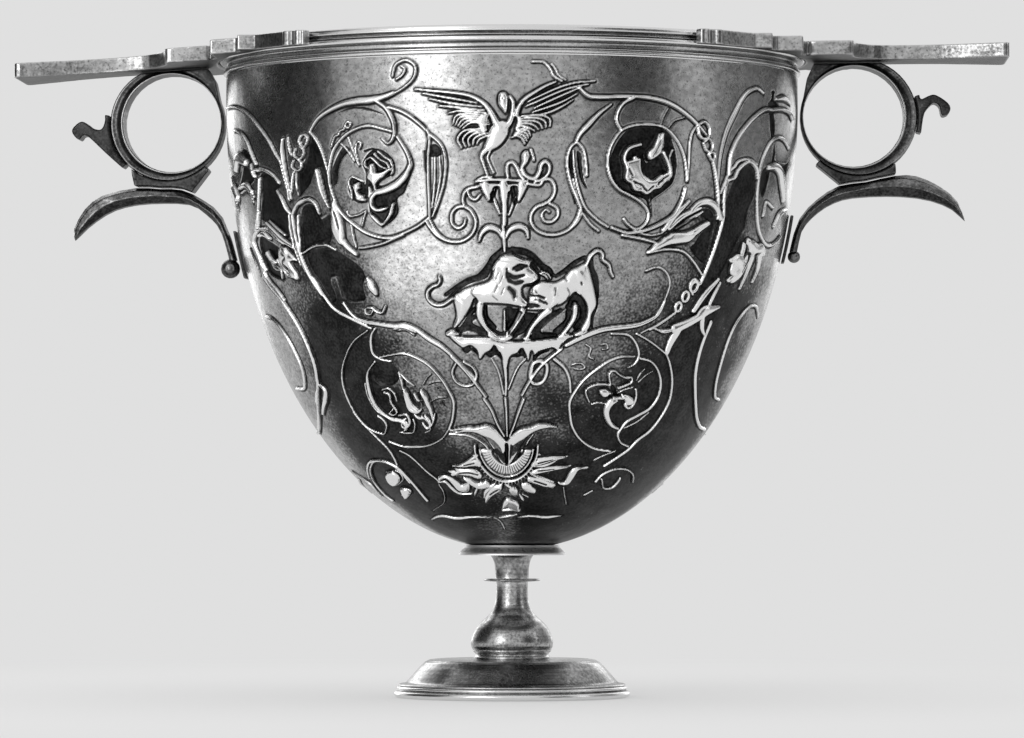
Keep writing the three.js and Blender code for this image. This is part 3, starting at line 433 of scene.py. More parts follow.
# The upper stem: a spool that opens like a trumpet under the collar, socketed on the tenon. Its
# ends run a little into the disc and the collar, as the solder does.
SPOOL = [
    (3.2, 0.0), (3.22, 0.3), (3.33, 0.5), (3.55, 0.65), (3.9, 0.78), (4.4, 0.88), (5.0, 0.94),
    (5.8, 0.98), (6.6, 1.0),
]
SPOOL_SUNK_BELOW, SPOOL_SUNK_ABOVE = 0.25, 0.22
spool_base, spool_top, _ = levels("upper_stem")
spool_base -= SPOOL_SUNK_BELOW
spool_top += SPOOL_SUNK_ABOVE
spool = [(radius, spool_base + share * (spool_top - spool_base)) for radius, share in SPOOL]
spool_section = np.vstack(
    [[(2.0, spool_base)], flowing(spool, 0.2), [(2.3, spool_top), (2.0, spool_top - 0.3)]]
)
stem_spool = turned("stem_spool", spool_section)
dressed("stem_spool", stem_spool, "upper_stem", "dark_silver", dark_silver, depth=0.8)

# The collar: a flared plate of silver, dished on top to take the bowl. Solder holds it to the bowl and
# the upper stem, and has left it rough and pale.
COLLAR_FACE = [(0.0, 0.0), (0.02, 0.12), (0.12, 0.22), (0.5, 0.42), (0.85, 0.62), (1.12, 0.82), (1.25, 1.0)]
COLLAR_DISH = [(7.2, 28.45), (4.5, 28.0), (2.4, 27.8)]
collar_base, collar_top, collar_radius = levels("stem_collar")
face = [(collar_radius - back, collar_base + up * (collar_top - collar_base)) for back, up in COLLAR_FACE]
collar_section = np.vstack([[(2.4, collar_base)], flowing(face, 0.15), COLLAR_DISH])
rough_silver = old_silver(
    "rough_silver", bright=0.95, dull=0.75, dark=0.07, rough=0.5, cover=0.28, turned_lines=0.3, relief=0.14,
    cloud_size=4.0, speck_size=0.6,
)
dressed("collar", turned("collar", collar_section), "stem_collar", "worn_silver", rough_silver, depth=0.5)

# The bowl's casing: thin silver sheet, raised to shape and then chased in relief from both sides
# with acanthus and vine scrolls, birds and beasts, the same on front and back. The ground between
# them is left a little uneven. A place on the bowl is degrees round from the front, and height.
BOWL_CURVE = 84.0
BOWL_START = 7.0
WALL_STEPS = 4000
ROWS = 610
HALF_TURN_COLUMNS = 900
WIRE = 0.5
LEAF = 0.75
BODY = 1.0
BARB = (0.14, 0.26, 0.26, 0.15)
FAR_OFF = 9.0
LINE_STEP, OUTLINE_STEP = 0.45, 0.5
THINNEST = 0.05
STROKE_MARGIN, CUT_MARGIN = 0.9, 0.6
VEIN_WIDTH = 0.3
MERGE_POWER = 6
PIT_SLOPE = 0.3
BEAD_POINTS = 8

bowl_floor, bowl_edge, bowl_radius = levels("bowl_casing")
spring = bowl_floor + BOWL_CURVE
swing = np.linspace(math.asin(BOWL_START / bowl_radius), math.pi / 2, WALL_STEPS)
wall_radius = np.append(bowl_radius * np.sin(swing), bowl_radius)
wall_height = np.append(spring - BOWL_CURVE * np.cos(swing), bowl_edge)
wall_run = np.append(0, np.cumsum(np.hypot(np.diff(wall_radius), np.diff(wall_height))))
row_run = np.linspace(0, wall_run[-1], ROWS + 1)
row_radius = np.interp(row_run, wall_run, wall_radius)
row_height = np.interp(row_run, wall_run, wall_height)
turns = np.linspace(-90, 90, HALF_TURN_COLUMNS + 1)

# Each motif below is a few blows of the chaser: lines and whole forms raised from behind, and then
# lines, pits and ground sunk from the front. These grids hold, in millimetres at each place, how far
# forms stand up, how deep lines and pits go, how deep open ground goes, and how far the next form is.
raised = np.zeros((ROWS + 1, HALF_TURN_COLUMNS + 1))
carved = np.zeros_like(raised)
sunken = np.zeros_like(raised)
nearest = np.full_like(raised, FAR_OFF)
middle = np.zeros(2)


def motif(turn, height):
    """Begins a motif: its points are counted from this middle."""
    middle[:] = turn, height


def placed(line):
    """A motif's points, given as turn, height, turn, height and so on, as places on the bowl."""
    return np.reshape(line, (-1, 2)) + middle


def swell(values, centre, width):
    """A smooth rise from nought to one and back, about a centre."""
    return np.exp(-(((values - centre) / width) ** 2))


def merged(first, second):
    """The higher of two forms everywhere, with a small fillet where they meet."""
    return (first**MERGE_POWER + second**MERGE_POWER) ** (1 / MERGE_POWER)


def degree_at(run):
    """How many millimetres a degree is round the bowl, at a distance up its wall."""
    return np.interp(run, row_run, row_radius) * math.pi / 180


def window(values, low, high):
    """The stretch of a rising list that covers low to high."""
    return slice(max(0, np.searchsorted(values, low) - 1), np.searchsorted(values, high) + 1)


def off_line(across, up, step):
    """How far places lie from a short straight line, and how far along it their nearest points are."""
    along = np.clip((across * step[0] + up * step[1]) / max(step @ step, 1e-9), 0, 1)
    return np.hypot(across - along * step[0], up - along * step[1]), along


def beside(line, width, margin, closed=False):
    """Yields the grid near each short stretch of a line, with how far off it is and the line's width."""
    points = placed(line)
    widths = np.atleast_1d(width)
    places = np.linspace(0, len(widths) - 1, len(points))
    wide = np.interp(places, np.arange(len(widths)), widths)
    line = flowing(np.column_stack([points, wide]), LINE_STEP, closed)
    if closed:
        line = np.vstack([line, line[:1]])
    turn, height, wide = line.T
    run = np.interp(height, wall_height, wall_run)
    wide = np.maximum(wide, THINNEST)
    for index in range(len(line) - 1):
        ends = slice(index, index + 2)
        degree = degree_at(run[index])
        reach = wide[ends].max() + margin
        rows = window(row_run, run[ends].min() - reach, run[ends].max() + reach)
        columns = window(turns, turn[ends].min() - reach / degree, turn[ends].max() + reach / degree)
        across = (turns[columns] - turn[index])[None, :] * degree
        up = (row_run[rows] - run[index])[:, None]
        step = np.array([(turn[index + 1] - turn[index]) * degree, run[index + 1] - run[index]])
        away, along = off_line(across, up, step)
        yield rows, columns, away, wide[index] + (wide[index + 1] - wide[index]) * along


def chase(width, height, *lines, vein=0.0, closed=False):
    """Raises a rounded stroke along each line; its half width is one value, or values spread along it."""
    widest = np.max(width)
    for line in lines:
        stroke = np.zeros_like(raised)
        for rows, columns, away, wide in beside(line, width, STROKE_MARGIN, closed):
            lift = height * np.sqrt(wide / widest) * np.sqrt(np.maximum(0, 1 - (away / wide) ** 2))
            lift = np.maximum(0, lift - vein * swell(away, 0, VEIN_WIDTH * wide))
            stroke[rows, columns] = np.maximum(stroke[rows, columns], lift)
            nearest[rows, columns] = np.minimum(nearest[rows, columns], away - wide)
        worked = stroke > 0
        raised[worked] = merged(raised[worked], stroke[worked])


def filled(outline):
    """The grid near a closed outline, with how far off the line each point is and what lies inside."""
    line = flowing(placed(outline), OUTLINE_STEP, closed=True)
    line = np.vstack([line, line[:1]])
    turn, run = line[:, 0], np.interp(line[:, 1], wall_height, wall_run)
    degree = degree_at(run.mean())
    margin = STROKE_MARGIN
    rows = window(row_run, run.min() - margin, run.max() + margin)
    columns = window(turns, turn.min() - margin / degree, turn.max() + margin / degree)
    across, up = (turns[columns] * degree)[None, :], row_run[rows][:, None]
    inside = np.zeros((len(up), across.shape[1]), dtype=bool)
    away = np.full(inside.shape, FAR_OFF)
    corners = np.column_stack([turn * degree, run])
    for start, end in zip(corners[:-1], corners[1:]):
        step = end - start
        crossed = (start[1] > up) != (end[1] > up)
        slope = step[0] / step[1] if step[1] else 0.0
        inside ^= crossed & (across < start[0] + slope * (up - start[1]))
        away = np.minimum(away, off_line(across - start[0], up - start[1], step)[0])
    return rows, columns, away, inside


def mass(height, shoulder, *outlines):
    """Raises a whole form inside each closed outline, with a rounded shoulder."""
    for outline in outlines:
        rows, columns, away, inside = filled(outline)
        lift = height * np.sqrt(1 - (1 - np.clip(away / shoulder, 0, 1)) ** 2) * inside
        nearest[rows, columns] = np.minimum(nearest[rows, columns], np.where(inside, -away, away))
        raised[rows, columns] = merged(raised[rows, columns], lift)


def pit(depth, *outlines, layer=carved):
    """Sinks what lies inside each closed outline."""
    for outline in outlines:
        rows, columns, away, inside = filled(outline)
        dip = depth * np.clip(away / PIT_SLOPE, 0, 1) * inside
        layer[rows, columns] = np.maximum(layer[rows, columns], dip)


def sink(depth, *outlines):
    """Sinks only the ground inside each closed outline, not the forms that stand on it."""
    pit(depth, *outlines, layer=sunken)


def cut(width, depth, *lines):
    """Cuts each line back into the metal, or a pit where its points lie close together."""
    for line in lines:
        for rows, columns, away, wide in beside(line, width, CUT_MARGIN):
            carved[rows, columns] = np.maximum(carved[rows, columns], depth * swell(away, 0, wide))


def fan(count, first, last):
    """Feathers or leaf ribs spread evenly from a first line to a last one."""
    first, last = np.array(first), np.array(last)
    chase(BARB, LEAF, *(first + (last - first) * share for share in np.linspace(0, 1, count)))


def bead(width, size, turn, height):
    """A small ring of wire round a place."""
    angles = np.arange(BEAD_POINTS) * math.tau / BEAD_POINTS
    ring = np.column_stack([turn + size * np.cos(angles), height + size * np.sin(angles)])
    chase(width, WIRE, ring, closed=True)


# A bird with raised wings stands at the top of the front. Its body is one high form, and thin ribs
# are its feathers.
motif(-4, 102)
chase((0.85, 0.9, 0.55, 0.2), BODY, [4.6, 8.1, 4.6, 7, 4.9, 6, 5.1, 5.2])
chase((0.3, 0.42, 0.5, 0.7), 0.8, [5.9, 8, 6.5, 7, 6.4, 5.3, 6, 3.7, 5, 2.4])
chase((1.2, 1.75, 1.5, 0.9), BODY, [4.5, 2.6, 3.8, 1.7, 3, 0.3, 1.8, -1])
chase((0.6, 0.4, 0.3), WIRE, [1.7, -1, 0.4, -2.6, 0.8, -3.9])
chase(0.24, WIRE, [0.4, -2.6, 0.7, -3.8, 1.2, -5.1, 1.6, -6.2])
chase(0.2, 0.4, [2.4, -1.4, 1.6, -2.8, 2, -4.1, 2.8, -5.7])
chase(0.25, WIRE, [-0.3, -6.9, 0.9, -6.4, 2.3, -6.4])
chase((0.2, 0.3, 0.36, 0.42, 0.6, 0.9), BODY, [-12.5, 9.6, -9, 9.2, -5.2, 8.8, -1.7, 8.2, 0.7, 7, 2.1, 5.5,
    3.1, 3.7, 3.9, 2.4])
chase(BARB, LEAF, [-11, 8.8, -7.1, 8.1, -3.6, 7.5, -0.4, 6.9], [-9.6, 7.8, -6.3, 7.1, -3, 6.6, 0.6, 6.2],
    [-7.7, 6.5, -4.9, 6.2, -2.2, 5.9, 1.1, 5.6], [-5.8, 5.2, -3.6, 5.5, -1.1, 5.4, 1.4, 5.1], [22.3, 11,
    18.4, 10.6, 15.2, 9.7, 11.9, 8.3, 9.5, 7.2], [21, 10.4, 17.2, 9.6, 14.2, 8.5, 11.2, 7.2, 9, 6.3],
    [19.5, 9.8, 16.3, 8.5, 13.3, 7.2, 10.6, 6], [18.7, 8.6, 15.7, 7.1, 13, 6.1, 10.2, 5.2], [17.9, 7.5,
    15.6, 6.2, 13, 5.1, 10, 4.6])
fan(5, [-5, 3.2, -4.2, 4.7, -1.1, 5, 1.5, 4.6], [-3.1, 2.4, -1.6, 3.3, 0.3, 3.3, 2, 3])
fan(5, [-3.4, -1.1, -4.1, 0.5, -2.6, 2, 0.4, 2.3], [-0.4, -0.4, 0, 0.3, 1, 0.8, 2.1, 1.2])
chase((0.5, 0.9, 0.5), 0.7, [1.4, 4.6, 0.6, 3.4, 1.1, 2.1])
chase((0.5, 0.4, 0.34, 0.25), BODY, [7.1, 4.7, 7.6, 6.2, 8.7, 7.6, 10.6, 8.8, 12.8, 10, 14.6, 10.7])
fan(5, [13.6, 2.8, 13.4, 4.1, 11.4, 4.7, 8.1, 4.5], [10.6, 1.9, 9.6, 2.4, 8.6, 2.7, 7.5, 2.8])
fan(4, [9.8, 1, 9.4, 1.9, 8.4, 2.2, 7.1, 2], [8.8, -0.5, 8.2, 0.6, 7.2, 1, 6.3, 0.7])
chase((0.35, 0.7, 0.4), 0.6, [7.5, 4.4, 7.9, 3.4, 7.2, 2.3])
cut(0.16, 0.3, [4.5, 7.7, 4.62, 7.7])

# A snake coils beside the bird's feet.
motif(1, 94)
chase(0.34, WIRE, [0.5, 1.7, 0.3, 2.9, 0.5, 3.9, 1.4, 4.2, 2.2, 3.4, 2.8, 2.1, 3.6, 1.2])
chase((0.34, 0.42, 0.4, 0.3), LEAF, [3.7, 4.6, 3.2, 3.2, 3.9, 1.9, 5.2, 1.3, 6.2, 1.8, 6.7, 2.9, 6.9, 3.8,
    7.7, 4.4, 8.5, 3.7, 8.3, 2.3, 7.2, 1.3, 5.8, 0.8])
chase((0.35, 0.75, 0.6, 0.3), BODY, [4, 6.1, 3.9, 5.4, 3.8, 4.5, 3.4, 3.6])
chase((0.3, 0.2), 0.4, [4.9, 6.5, 5.3, 5.4, 5.6, 4.6])

# Below them stands a fountain of leaves: a basin with two pointed openings, on a palmette.
motif(-4, 86)
mass(0.5, 0.4, [-0.2, 8.5, 2, 8.5, 4.7, 8.4, 7.4, 8.3, 9.3, 8.2, 9.1, 7.4, 8.5, 6.7, 8, 6.9, 7.5, 7.9,
    6.3, 7.9, 5.9, 6.9, 4.1, 7, 3.8, 7.8, 3.1, 7.8, 2.4, 6.8, 1.4, 6.2, 0.6, 7.2])
chase((0.2, 0.3, 0.3, 0.25), LEAF, [-0.8, 8.8, 2, 9.1, 5.3, 9.1, 9.3, 8.8])
chase((0.9, 0.75, 0.35), LEAF, [1.1, 8, 1.3, 7.2, 1.9, 5.6])
chase((0.9, 0.7, 0.35), LEAF, [8.2, 8, 8.1, 7.1, 7.6, 5.5])
chase((0.9, 0.8, 0.5, 0.45), LEAF, [4.65, 8.2, 4.75, 6.6, 4.8, 4.5, 4.75, 1.2])
chase((0.2, 0.3, 0.2), 0.5, [2.5, 6.2, 3.1, 4.8, 3.9, 3], [6.9, 6, 6.4, 4.6, 5.7, 2.8])
chase(0.32, LEAF, [4.5, 0.9, 4.7, -1.4, 4.8, -3.6])
chase((0.2, 0.6, 0.55, 0.2), LEAF, [4.4, -1.3, 3.5, 0.1, 1.7, 0.6, 0.2, -0.4, -0.3, -1.8], [5.1, -1.3,
    5.8, 0.1, 7.6, 0.8, 9.1, 0.2, 9.6, -1.3])
cut(0.32, 0.5, [2.9, 7.6, 2.7, 6.6, 2.2, 5.4])
cut(0.34, 0.5, [6.4, 7.6, 6.6, 6.4, 6.7, 5])

# Two volutes spring from the fountain.
motif(-13, 85)
chase(0.31, WIRE, [8.7, 8.9, 6.6, 8.4, 5.7, 7.2, 5.9, 5.5, 7.2, 4.6, 8.1, 2.7, 7.3, 0.5, 5.1, -0.8,
    2.5, -0.8, 0.2, 0.2, -1.3, 1.8, -1.9, 2.7], [18.3, 9.4, 20.7, 9.2, 21.4, 10.1, 22.9, 10.1, 23.7, 8.6,
    23.2, 6.9, 21.9, 5.9, 20.1, 5.2, 19, 3.6, 19.5, 1.8, 21.3, 0.6, 23.9, 0.3, 26.6, 1.2, 28.2, 3,
    28.9, 4.9])
chase((0.3, 0.3, 0.22), WIRE, [5.9, 5.4, 4.4, 5.2, 3.3, 4.1, 3.3, 2.4, 4.4, 1.5, 5.6, 2, 6, 3])
chase(0.26, WIRE, [6.6, 8.3, 7.1, 7, 8.2, 6.6, 9, 7.4])
chase((0.3, 0.22), WIRE, [22.7, 5.9, 24.2, 5.1, 24.4, 3.7, 23.2, 2.6, 21.7, 2.8, 21.2, 4, 22, 4.8,
    22.7, 4.4])

# Long stems run out from the bird to both sides and end in tendrils, as thin as wire.
motif(-22, 109)
chase((0.15, 0.25, 0.2), WIRE, [-1.7, 0.9, 0.9, 1.8, 3.6, 3.2, 5.3, 4.8, 5.5, 6.8, 3.6, 7.9, 1.5, 7.1,
    0.8, 5.1])
chase(0.18, 0.35, [1.6, 4.5, 2.8, 5.2, 3.4, 6.3, 2.6, 6.9])
chase(0.2, 0.4, [28.2, 7.4, 30.3, 7.3, 31.6, 6.1, 32.3, 4.8, 33.9, 3.9])
chase(0.14, 0.3, [31.9, 7, 32.7, 6, 33.3, 4.9, 34.6, 4.1])

# The upper left roundel: a scroll round a trumpet flower, on sunken ground.
motif(-32, 92)
mass(0.9, 0.6, [4.9, 4.6, 5.4, 5.4, 6.2, 5.7, 7, 4.8, 7.8, 4.3, 8.6, 4.5, 9.5, 4.9, 8.6, 3.9, 7.6, 3.4,
    6.8, 2.6, 6.4, 2.2, 5.8, 3, 5, 3.7])
mass(0.85, 0.5, [1.5, 2.8, 2.7, 2.9, 3.2, 2.2, 2.6, 1.6, 3.1, 1, 3.9, 0.8, 3.7, 0.1, 2.4, -0.1, 2, 0.6,
    1.8, 1.7])
chase((0.2, 0.3, 0.45, 0.6, 0.7, 0.55, 0.4), LEAF, [-8.6, 12.9, -6.6, 14.9, -3.8, 16.3, -0.3, 17.4, 3, 17.8,
    5.9, 17.9, 8.7, 18.3, 11, 19])
chase((0.3, 0.42, 0.36, 0.24, 0.12), LEAF, [7.3, 17.7, 9.2, 16.6, 10.4, 15.1, 11.1, 13.4, 11.1, 11.6,
    10.5, 10.4, 9.5, 10, 8.3, 10.9])
chase((0.24, 0.28), WIRE, [10.6, 12.1, 8.6, 12.6, 6, 13.2, 3.9, 13.1, 1.1, 12.2, -1, 10.9, -2.8, 9.1,
    -3.7, 7.2, -4.3, 5.1, -4.3, 3.1, -3.6, 0.7, -2.6, -1.5, -1.2, -3.1, 0.8, -4.5, 3.2, -5.9, 6.1, -6.8,
    8.8, -7, 11.8, -6.3, 15, -5.1, 17.4, -3.7])
chase(0.22, WIRE, [-8.7, 12.7, -7.1, 11.1, -5.8, 9.1, -5, 6.9, -4.5, 4.9])
chase((0.22, 0.26, 0.3), WIRE, [1.3, -8.7, 3.8, -8.5, 7, -8, 9.3, -7.3, 11.8, -6.5])
chase((0.25, 0.3, 0.4, 0.5, 0.55, 0.42, 0.36, 0.3), LEAF, [11.7, 11.1, 12.9, 9.4, 13.9, 7.7, 14.3, 5.9,
    13.3, 4.5, 11.4, 2.9, 9, 1.8, 6.5, 1.2, 5.5, 0.3, 5.5, -1.1, 6.5, -1.9, 8.2, -1.7])
chase((0.2, 0.3, 0.55, 0.75, 0.6), BODY, [6.5, 1.4, 6.4, 3, 6.5, 4, 6.2, 4.9, 6.1, 5.9])
chase((0.5, 0.4, 0.2), BODY, [6.8, 4.3, 8.5, 4.6, 10.3, 5.4])
chase(0.16, LEAF, [5.8, 5.3, 4.6, 6, 4.7, 6.9, 5.9, 7.5, 6.9, 6.8, 8, 5.8, 9.6, 5.3], [6.7, 8.2, 7.8, 7.1,
    9.3, 6.4, 10.1, 5.1])
chase(0.14, LEAF, [7.4, 8.6, 8.8, 7.6, 10.2, 6.7, 10.6, 5.1, 10.2, 4.4])
chase(0.2, LEAF, [5.1, -2.8, 6, -3.5, 7, -4.4], [10.2, -1.1, 9.8, -2.6, 8.9, -3.5, 8, -4.3])
chase((0.3, 0.42, 0.3), LEAF, [1.8, 2.5, 2.6, 2.7, 2.9, 2.1])
chase((0.3, 0.4, 0.25), LEAF, [2.4, 0.9, 2.6, 0.2, 3.9, -0.1])
chase((0.25, 0.35, 0.25), LEAF, [5.2, 2.2, 5.4, 1.3, 5, 0.5])
chase(0.12, 0.4, [0.8, 0.2, 0.7, 1.8, 0.4, 3.1, 1, 4.1, 2.3, 3.8, 3.7, 3.2])
chase(0.12, 0.3, [3, 6.2, 1.9, 8.6, 0.7, 11.4], [2, 7, 0.6, 8.8, -1.1, 10.3], [2.8, 7, 2.4, 8.8, 2.8, 10.3,
    3.7, 10.1, 3.4, 9.3])
chase(0.14, 0.35, [-0.7, -2, -0.2, -2.9, 2.1, -2.7, 3.8, -2.1, 3.3, -3.2, 2.6, -4.7], [0.1, 13.2,
    -0.3, 12.7, -1.1, 12.6, -1.5, 11.8, -2.3, 11.7, -2.9, 10.8, -3.4, 9.7])
chase(0.12, 0.35, [1.4, 13.9, 0.6, 14.1, 0.2, 13.3, 0.9, 13, 1.5, 13.7])
chase((0.35, 0.5, 0.55, 0.5, 0.42), LEAF, [14, 5.8, 13.2, 4, 11.2, 2.3, 8.8, 1.4, 6.6, 1])
chase((0.42, 0.4, 0.4, 0.4, 0.3), LEAF, [6.3, 0.8, 5.6, 0.1, 5.5, -1, 6.1, -1.8, 7.4, -2, 8.6, -1.7])
chase((0.2, 0.38, 0.3), LEAF, [4.9, -2.6, 6.1, -3.6, 7.3, -4.6])
chase((0.2, 0.34, 0.3), LEAF, [7.7, -4.5, 9.2, -3.1, 10.3, -0.9])
cut(0.3, 0.35, [6.9, 6.1, 8.3, 5.3])
cut(0.2, 0.3, [7.5, 7.3, 9.3, 6])
cut(0.2, 0.2, [4.4, 8.7, 6.6, 9, 8.4, 7.8])
cut(0.12, 0.3, [17.5, 4.6, 17.4, 6.7, 17.9, 9.4, 18.2, 10.7], [15.3, 14.5, 17.3, 12.9, 17.9, 11.1],
    [18.4, -3.5, 19.2, -2.4])
pit(0.3, [-2.3, 15.7, 0.3, 16.5, 2.8, 16.8, 5.4, 16.6, 8.5, 15.5, 9.1, 15, 7.1, 15.6, 4.8, 16.1, 2.4, 16.4,
    -0.1, 16.1])
pit(0.35, [18.5, 9.3, 19.3, 9.7, 20.3, 8.9, 20.6, 7.7, 19.4, 7.2, 18.5, 7.7])
sink(0.4, [3.8, 6.5, 5.5, 8.5, 7.2, 9.1, 9.1, 8.4, 10.7, 7, 10.9, 5.4, 9.8, 4, 7.9, 3.6, 7.1, 2.6, 8.5, 2.4,
    10.4, 2.8, 12.5, 4.4, 13.9, 6.1, 14.8, 5.7, 14.5, 4.6, 13.5, 2.5, 12.5, 0.8, 11.1, -0.1, 11.2, -2.3,
    9.9, -3.9, 7.7, -4.8, 6, -3.9, 4.8, -2.5, 4.7, -0.8, 4.8, 0.5, 3.7, -0.5, 2.3, -0.7, 0.8, 0.1, 0.1, 1.7,
    0.3, 3.6, 1.4, 4.4, 3.1, 3.8, 4.1, 2.7, 4.4, 4.9])
sink(0.3, [-2.6, 2.9, -4.3, 3, -3.5, 5.9, -1.5, 8.8, 0, 9.9, 1.1, 9, -0.5, 7.7, -1.7, 5.9])

# A big leaf and a thin one close the roundel off on its lower left.
motif(-44, 83)
mass(0.8, 0.5, [4.3, 14.8, 5, 15, 5.6, 14, 6, 12, 6.5, 9.8, 6.9, 7.9, 6.1, 9.3, 5.2, 10.7, 4.5, 12.6])
mass(0.8, 0.8, [7.9, 8.7, 8.7, 9, 9.4, 7.3, 10.2, 5.4, 10.2, 3.2, 9.8, 1.1, 8.6, 1.1, 7.4, 2.8, 7.1, 4.9],
    [-10.2, 1.1, -7.9, 1.2, -7, 0.5, -5.4, -0.7, -4.7, -1.6, -6.8, -1.4, -6.6, -2.5, -5.5, -3.7, -5.5, -4.8,
    -7, -4.5, -8.8, -3.6, -10.2, -2.7, -11.1, -1])
chase((0.2, 0.5, 0.75, 0.6, 0.4), LEAF, [8.6, 9.1, 8.3, 6.4, 8.4, 3.6, 10.2, 0.9, 12.4, -0.8])
chase((0.14, 0.2, 0.14), 0.5, [12, 4.7, 12.2, 2.8, 12.6, 0.4])
chase((0.15, 0.32, 0.3, 0.15), LEAF, [4.6, 14.8, 5.2, 12.4, 6, 10, 6.9, 7.7])
chase(0.2, 0.4, [-1.9, 8.5, 0.9, 9.3, 3, 8.9, 4, 7.9, 4.1, 6.7], [-2.5, -0.2, 1.2, 0.9, 4.7, 1, 7.2, 0.1])
chase(0.14, 0.4, [1.7, 20.6, 2.7, 20.6, 2.2, 19.4, 1.1, 19.2, 0.7, 19.9], [0.6, 18.7, 1.5, 18.2, 0.8, 17.3,
    0.1, 16.7])
cut(0.14, 0.35, [-9.3, 0.3, -8.1, -0.6, -9.7, -1.6, -7.9, -2.8], [8.4, 7.1, 8.9, 5.7, 9.2, 4.1])

# Long leaf loops hang from the stem on the left of the fountain.
motif(-19, 94)
chase((0.3, 0.24), WIRE, [-3, 14.5, 0, 13.5, 2.9, 11.7, 5.1, 9.4, 4.9, 5.6, 4.8, 1.7, 4.8, -2.2, 4.7, -5.7],
    [5.2, 9.4, 6.3, 8.7, 7.8, 7.1, 8.4, 4.4, 7.9, 0.7, 6.8, -2.4, 5.4, -5.4])
chase((0.12, 0.2, 0.12), 0.4, [6.3, 6.3, 6.2, 2.7, 5.8, -1.2, 5.3, -3.9], [7.1, 5.7, 7.3, 2.4, 6.7, -0.8,
    5.7, -4.1])
chase((0.24, 0.2), WIRE, [4.7, -5.9, 6, -8, 7.7, -9.4, 9.9, -10])
cut(0.25, 0.3, [5.7, 5.6, 5.9, 6.7, 6.5, 7.1])
cut(0.18, 0.2, [4.2, 6.4, 4.4, 2.9])

# The upper right roundel: a scroll round an open flower with a ruffled edge and a brush of stamens.
motif(25, 93)
mass(0.9, 0.6, [-0.7, 5.6, 0.2, 5.9, 1.5, 6.2, 2.8, 6.4, 3.1, 4.7, 3.7, 3.3, 4.9, 2.5, 6.4, 2.7, 7.7, 3.4,
    9.1, 4, 10, 3.7, 9.3, 2.6, 7.9, 1.8, 6.6, 0.9, 4.9, 0, 3.8, 0.6, 2.6, 0.8, 1.2, 1.5, 0.1, 2.4, 0.2, 3.5,
    -0.5, 4.6])
mass(0.9, 0.5, [4.1, 6.4, 4.3, 7.5, 5.6, 8.7, 6.6, 10, 7.5, 11.2, 7.8, 9.8, 7.5, 8.4, 6.8, 7, 5.5, 6.1,
    4.7, 5.8])
chase((0.3, 0.42, 0.34, 0.4, 0.34, 0.24), LEAF, [-9.7, 18.6, -8, 17.3, -5.9, 17.1, -3.4, 17.2, 0.7, 17.4,
    4.1, 17.3, 7.6, 16.8, 10.8, 15.7, 13.9, 14.1, 15.9, 12.8, 18.1, 11.1])
chase((0.36, 0.3, 0.22), LEAF, [1.1, 17.2, -0.9, 16.2, -2.1, 14.6, -2.3, 12.9, -1.3, 11.3])
chase(0.24, WIRE, [14, 2.5, 13.6, 4.6, 12.8, 7.2, 11.3, 9.5, 9.3, 11.3, 7.2, 12.2, 4.2, 12.4, 1.2, 12.1,
    -1.2, 11.2, -2.8, 9.3, -3.7, 7.2, -3.8, 4.7, -2.9, 2.3, -1.2, 0.6, 1.4, -0.5, 3.5, -1.5, 5.2, -2.9,
    5.6, -4.4, 4.7, -5.8, 3, -6.5, 1.1, -5.6, 0.2, -4.7])
chase((0.2, 0.26), WIRE, [15.7, 12.6, 14.6, 11.2, 14.1, 8.9, 14.1, 6, 14.1, 2.9])
chase((0.3, 0.36, 0.28), LEAF, [13.7, 1.2, 13, -1.1, 11.4, -3.6, 9.2, -5, 6.6, -6.1, 4.1, -6.8, 1, -7.1,
    -2.3, -6.3])
chase((0.25, 0.3, 0.2), 0.5, [0.2, -7.6, 4.2, -8.1, 8.4, -8.9])
chase((0.2, 0.15), 0.4, [3.9, -7.2, 6.8, -7.5, 9.5, -7])
chase(0.4, BODY, [2.6, 8.8, 0.2, 8, -0.7, 6.3, 0, 4.4, 0, 2.6, 1.3, 1.8, 2, 0.8, 3.4, 0.6, 4.7, 0.1, 5.6, 1,
    7.1, 1.3, 8, 2.2, 9.6, 3.5, 9, 5.4, 7.9, 7.1, 7.7, 7.5])
chase((0.5, 0.75, 0.85, 0.7, 0.4), LEAF, [1.7, 6.4, 1.9, 4.4, 3.7, 2.6, 5.8, 1.9, 7.7, 3.2])
chase((0.25, 0.5, 0.45, 0.15), BODY, [4.7, 6.1, 5.4, 7.4, 6.6, 9.1, 7.9, 11])
chase((0.12, 0.2, 0.1), LEAF, [5.1, 7.8, 6.1, 9.3, 6.9, 10.8])
chase((0.12, 0.16, 0.1), LEAF, [6.7, 7, 7.6, 8.5, 7.8, 9.6])
chase(0.12, 0.3, [10.2, 8, 9.6, 6.3, 10.3, 4.2, 9.7, 2.4], [7.3, 12.6, 7.7, 13.7, 8.7, 15.4], [9.1, 12.1,
    10.3, 13.3, 12.6, 14])
chase((0.2, 0.12), 0.3, [5.5, -1.1, 5.9, -2.5, 6.1, -3.8])
cut((0.45, 0.7, 0.5), 0.6, [3.9, 7, 5.1, 5.1, 7.1, 5])
cut(0.14, 0.3, [0.5, 6.6, 1.9, 6.9, 2.9, 7.3])
cut(0.16, 0.35, [0.3, 4.4, 1.1, 3.2], [1.7, 1.9, 3.2, 1.6, 3.8, 1], [4.8, 0.6, 5.8, 1.4], [6.8, 1.7,
    7.8, 2.7, 9.1, 3.4], [1.4, 2.2, 2.4, 1.8, 3.4, 1.4], [6.9, 2.1, 7.9, 2.4], [0.3, 7.1, 1.5, 7.5, 2.7, 8])
cut(0.16, 0.3, [8.2, 5.4, 9.5, 4.2])
cut((0.3, 0.15), 0.4, [5, -0.1, 5.5, -1.7, 6, -3.3])
cut(0.14, 0.35, [4, 0.9, 4.5, 0.5])
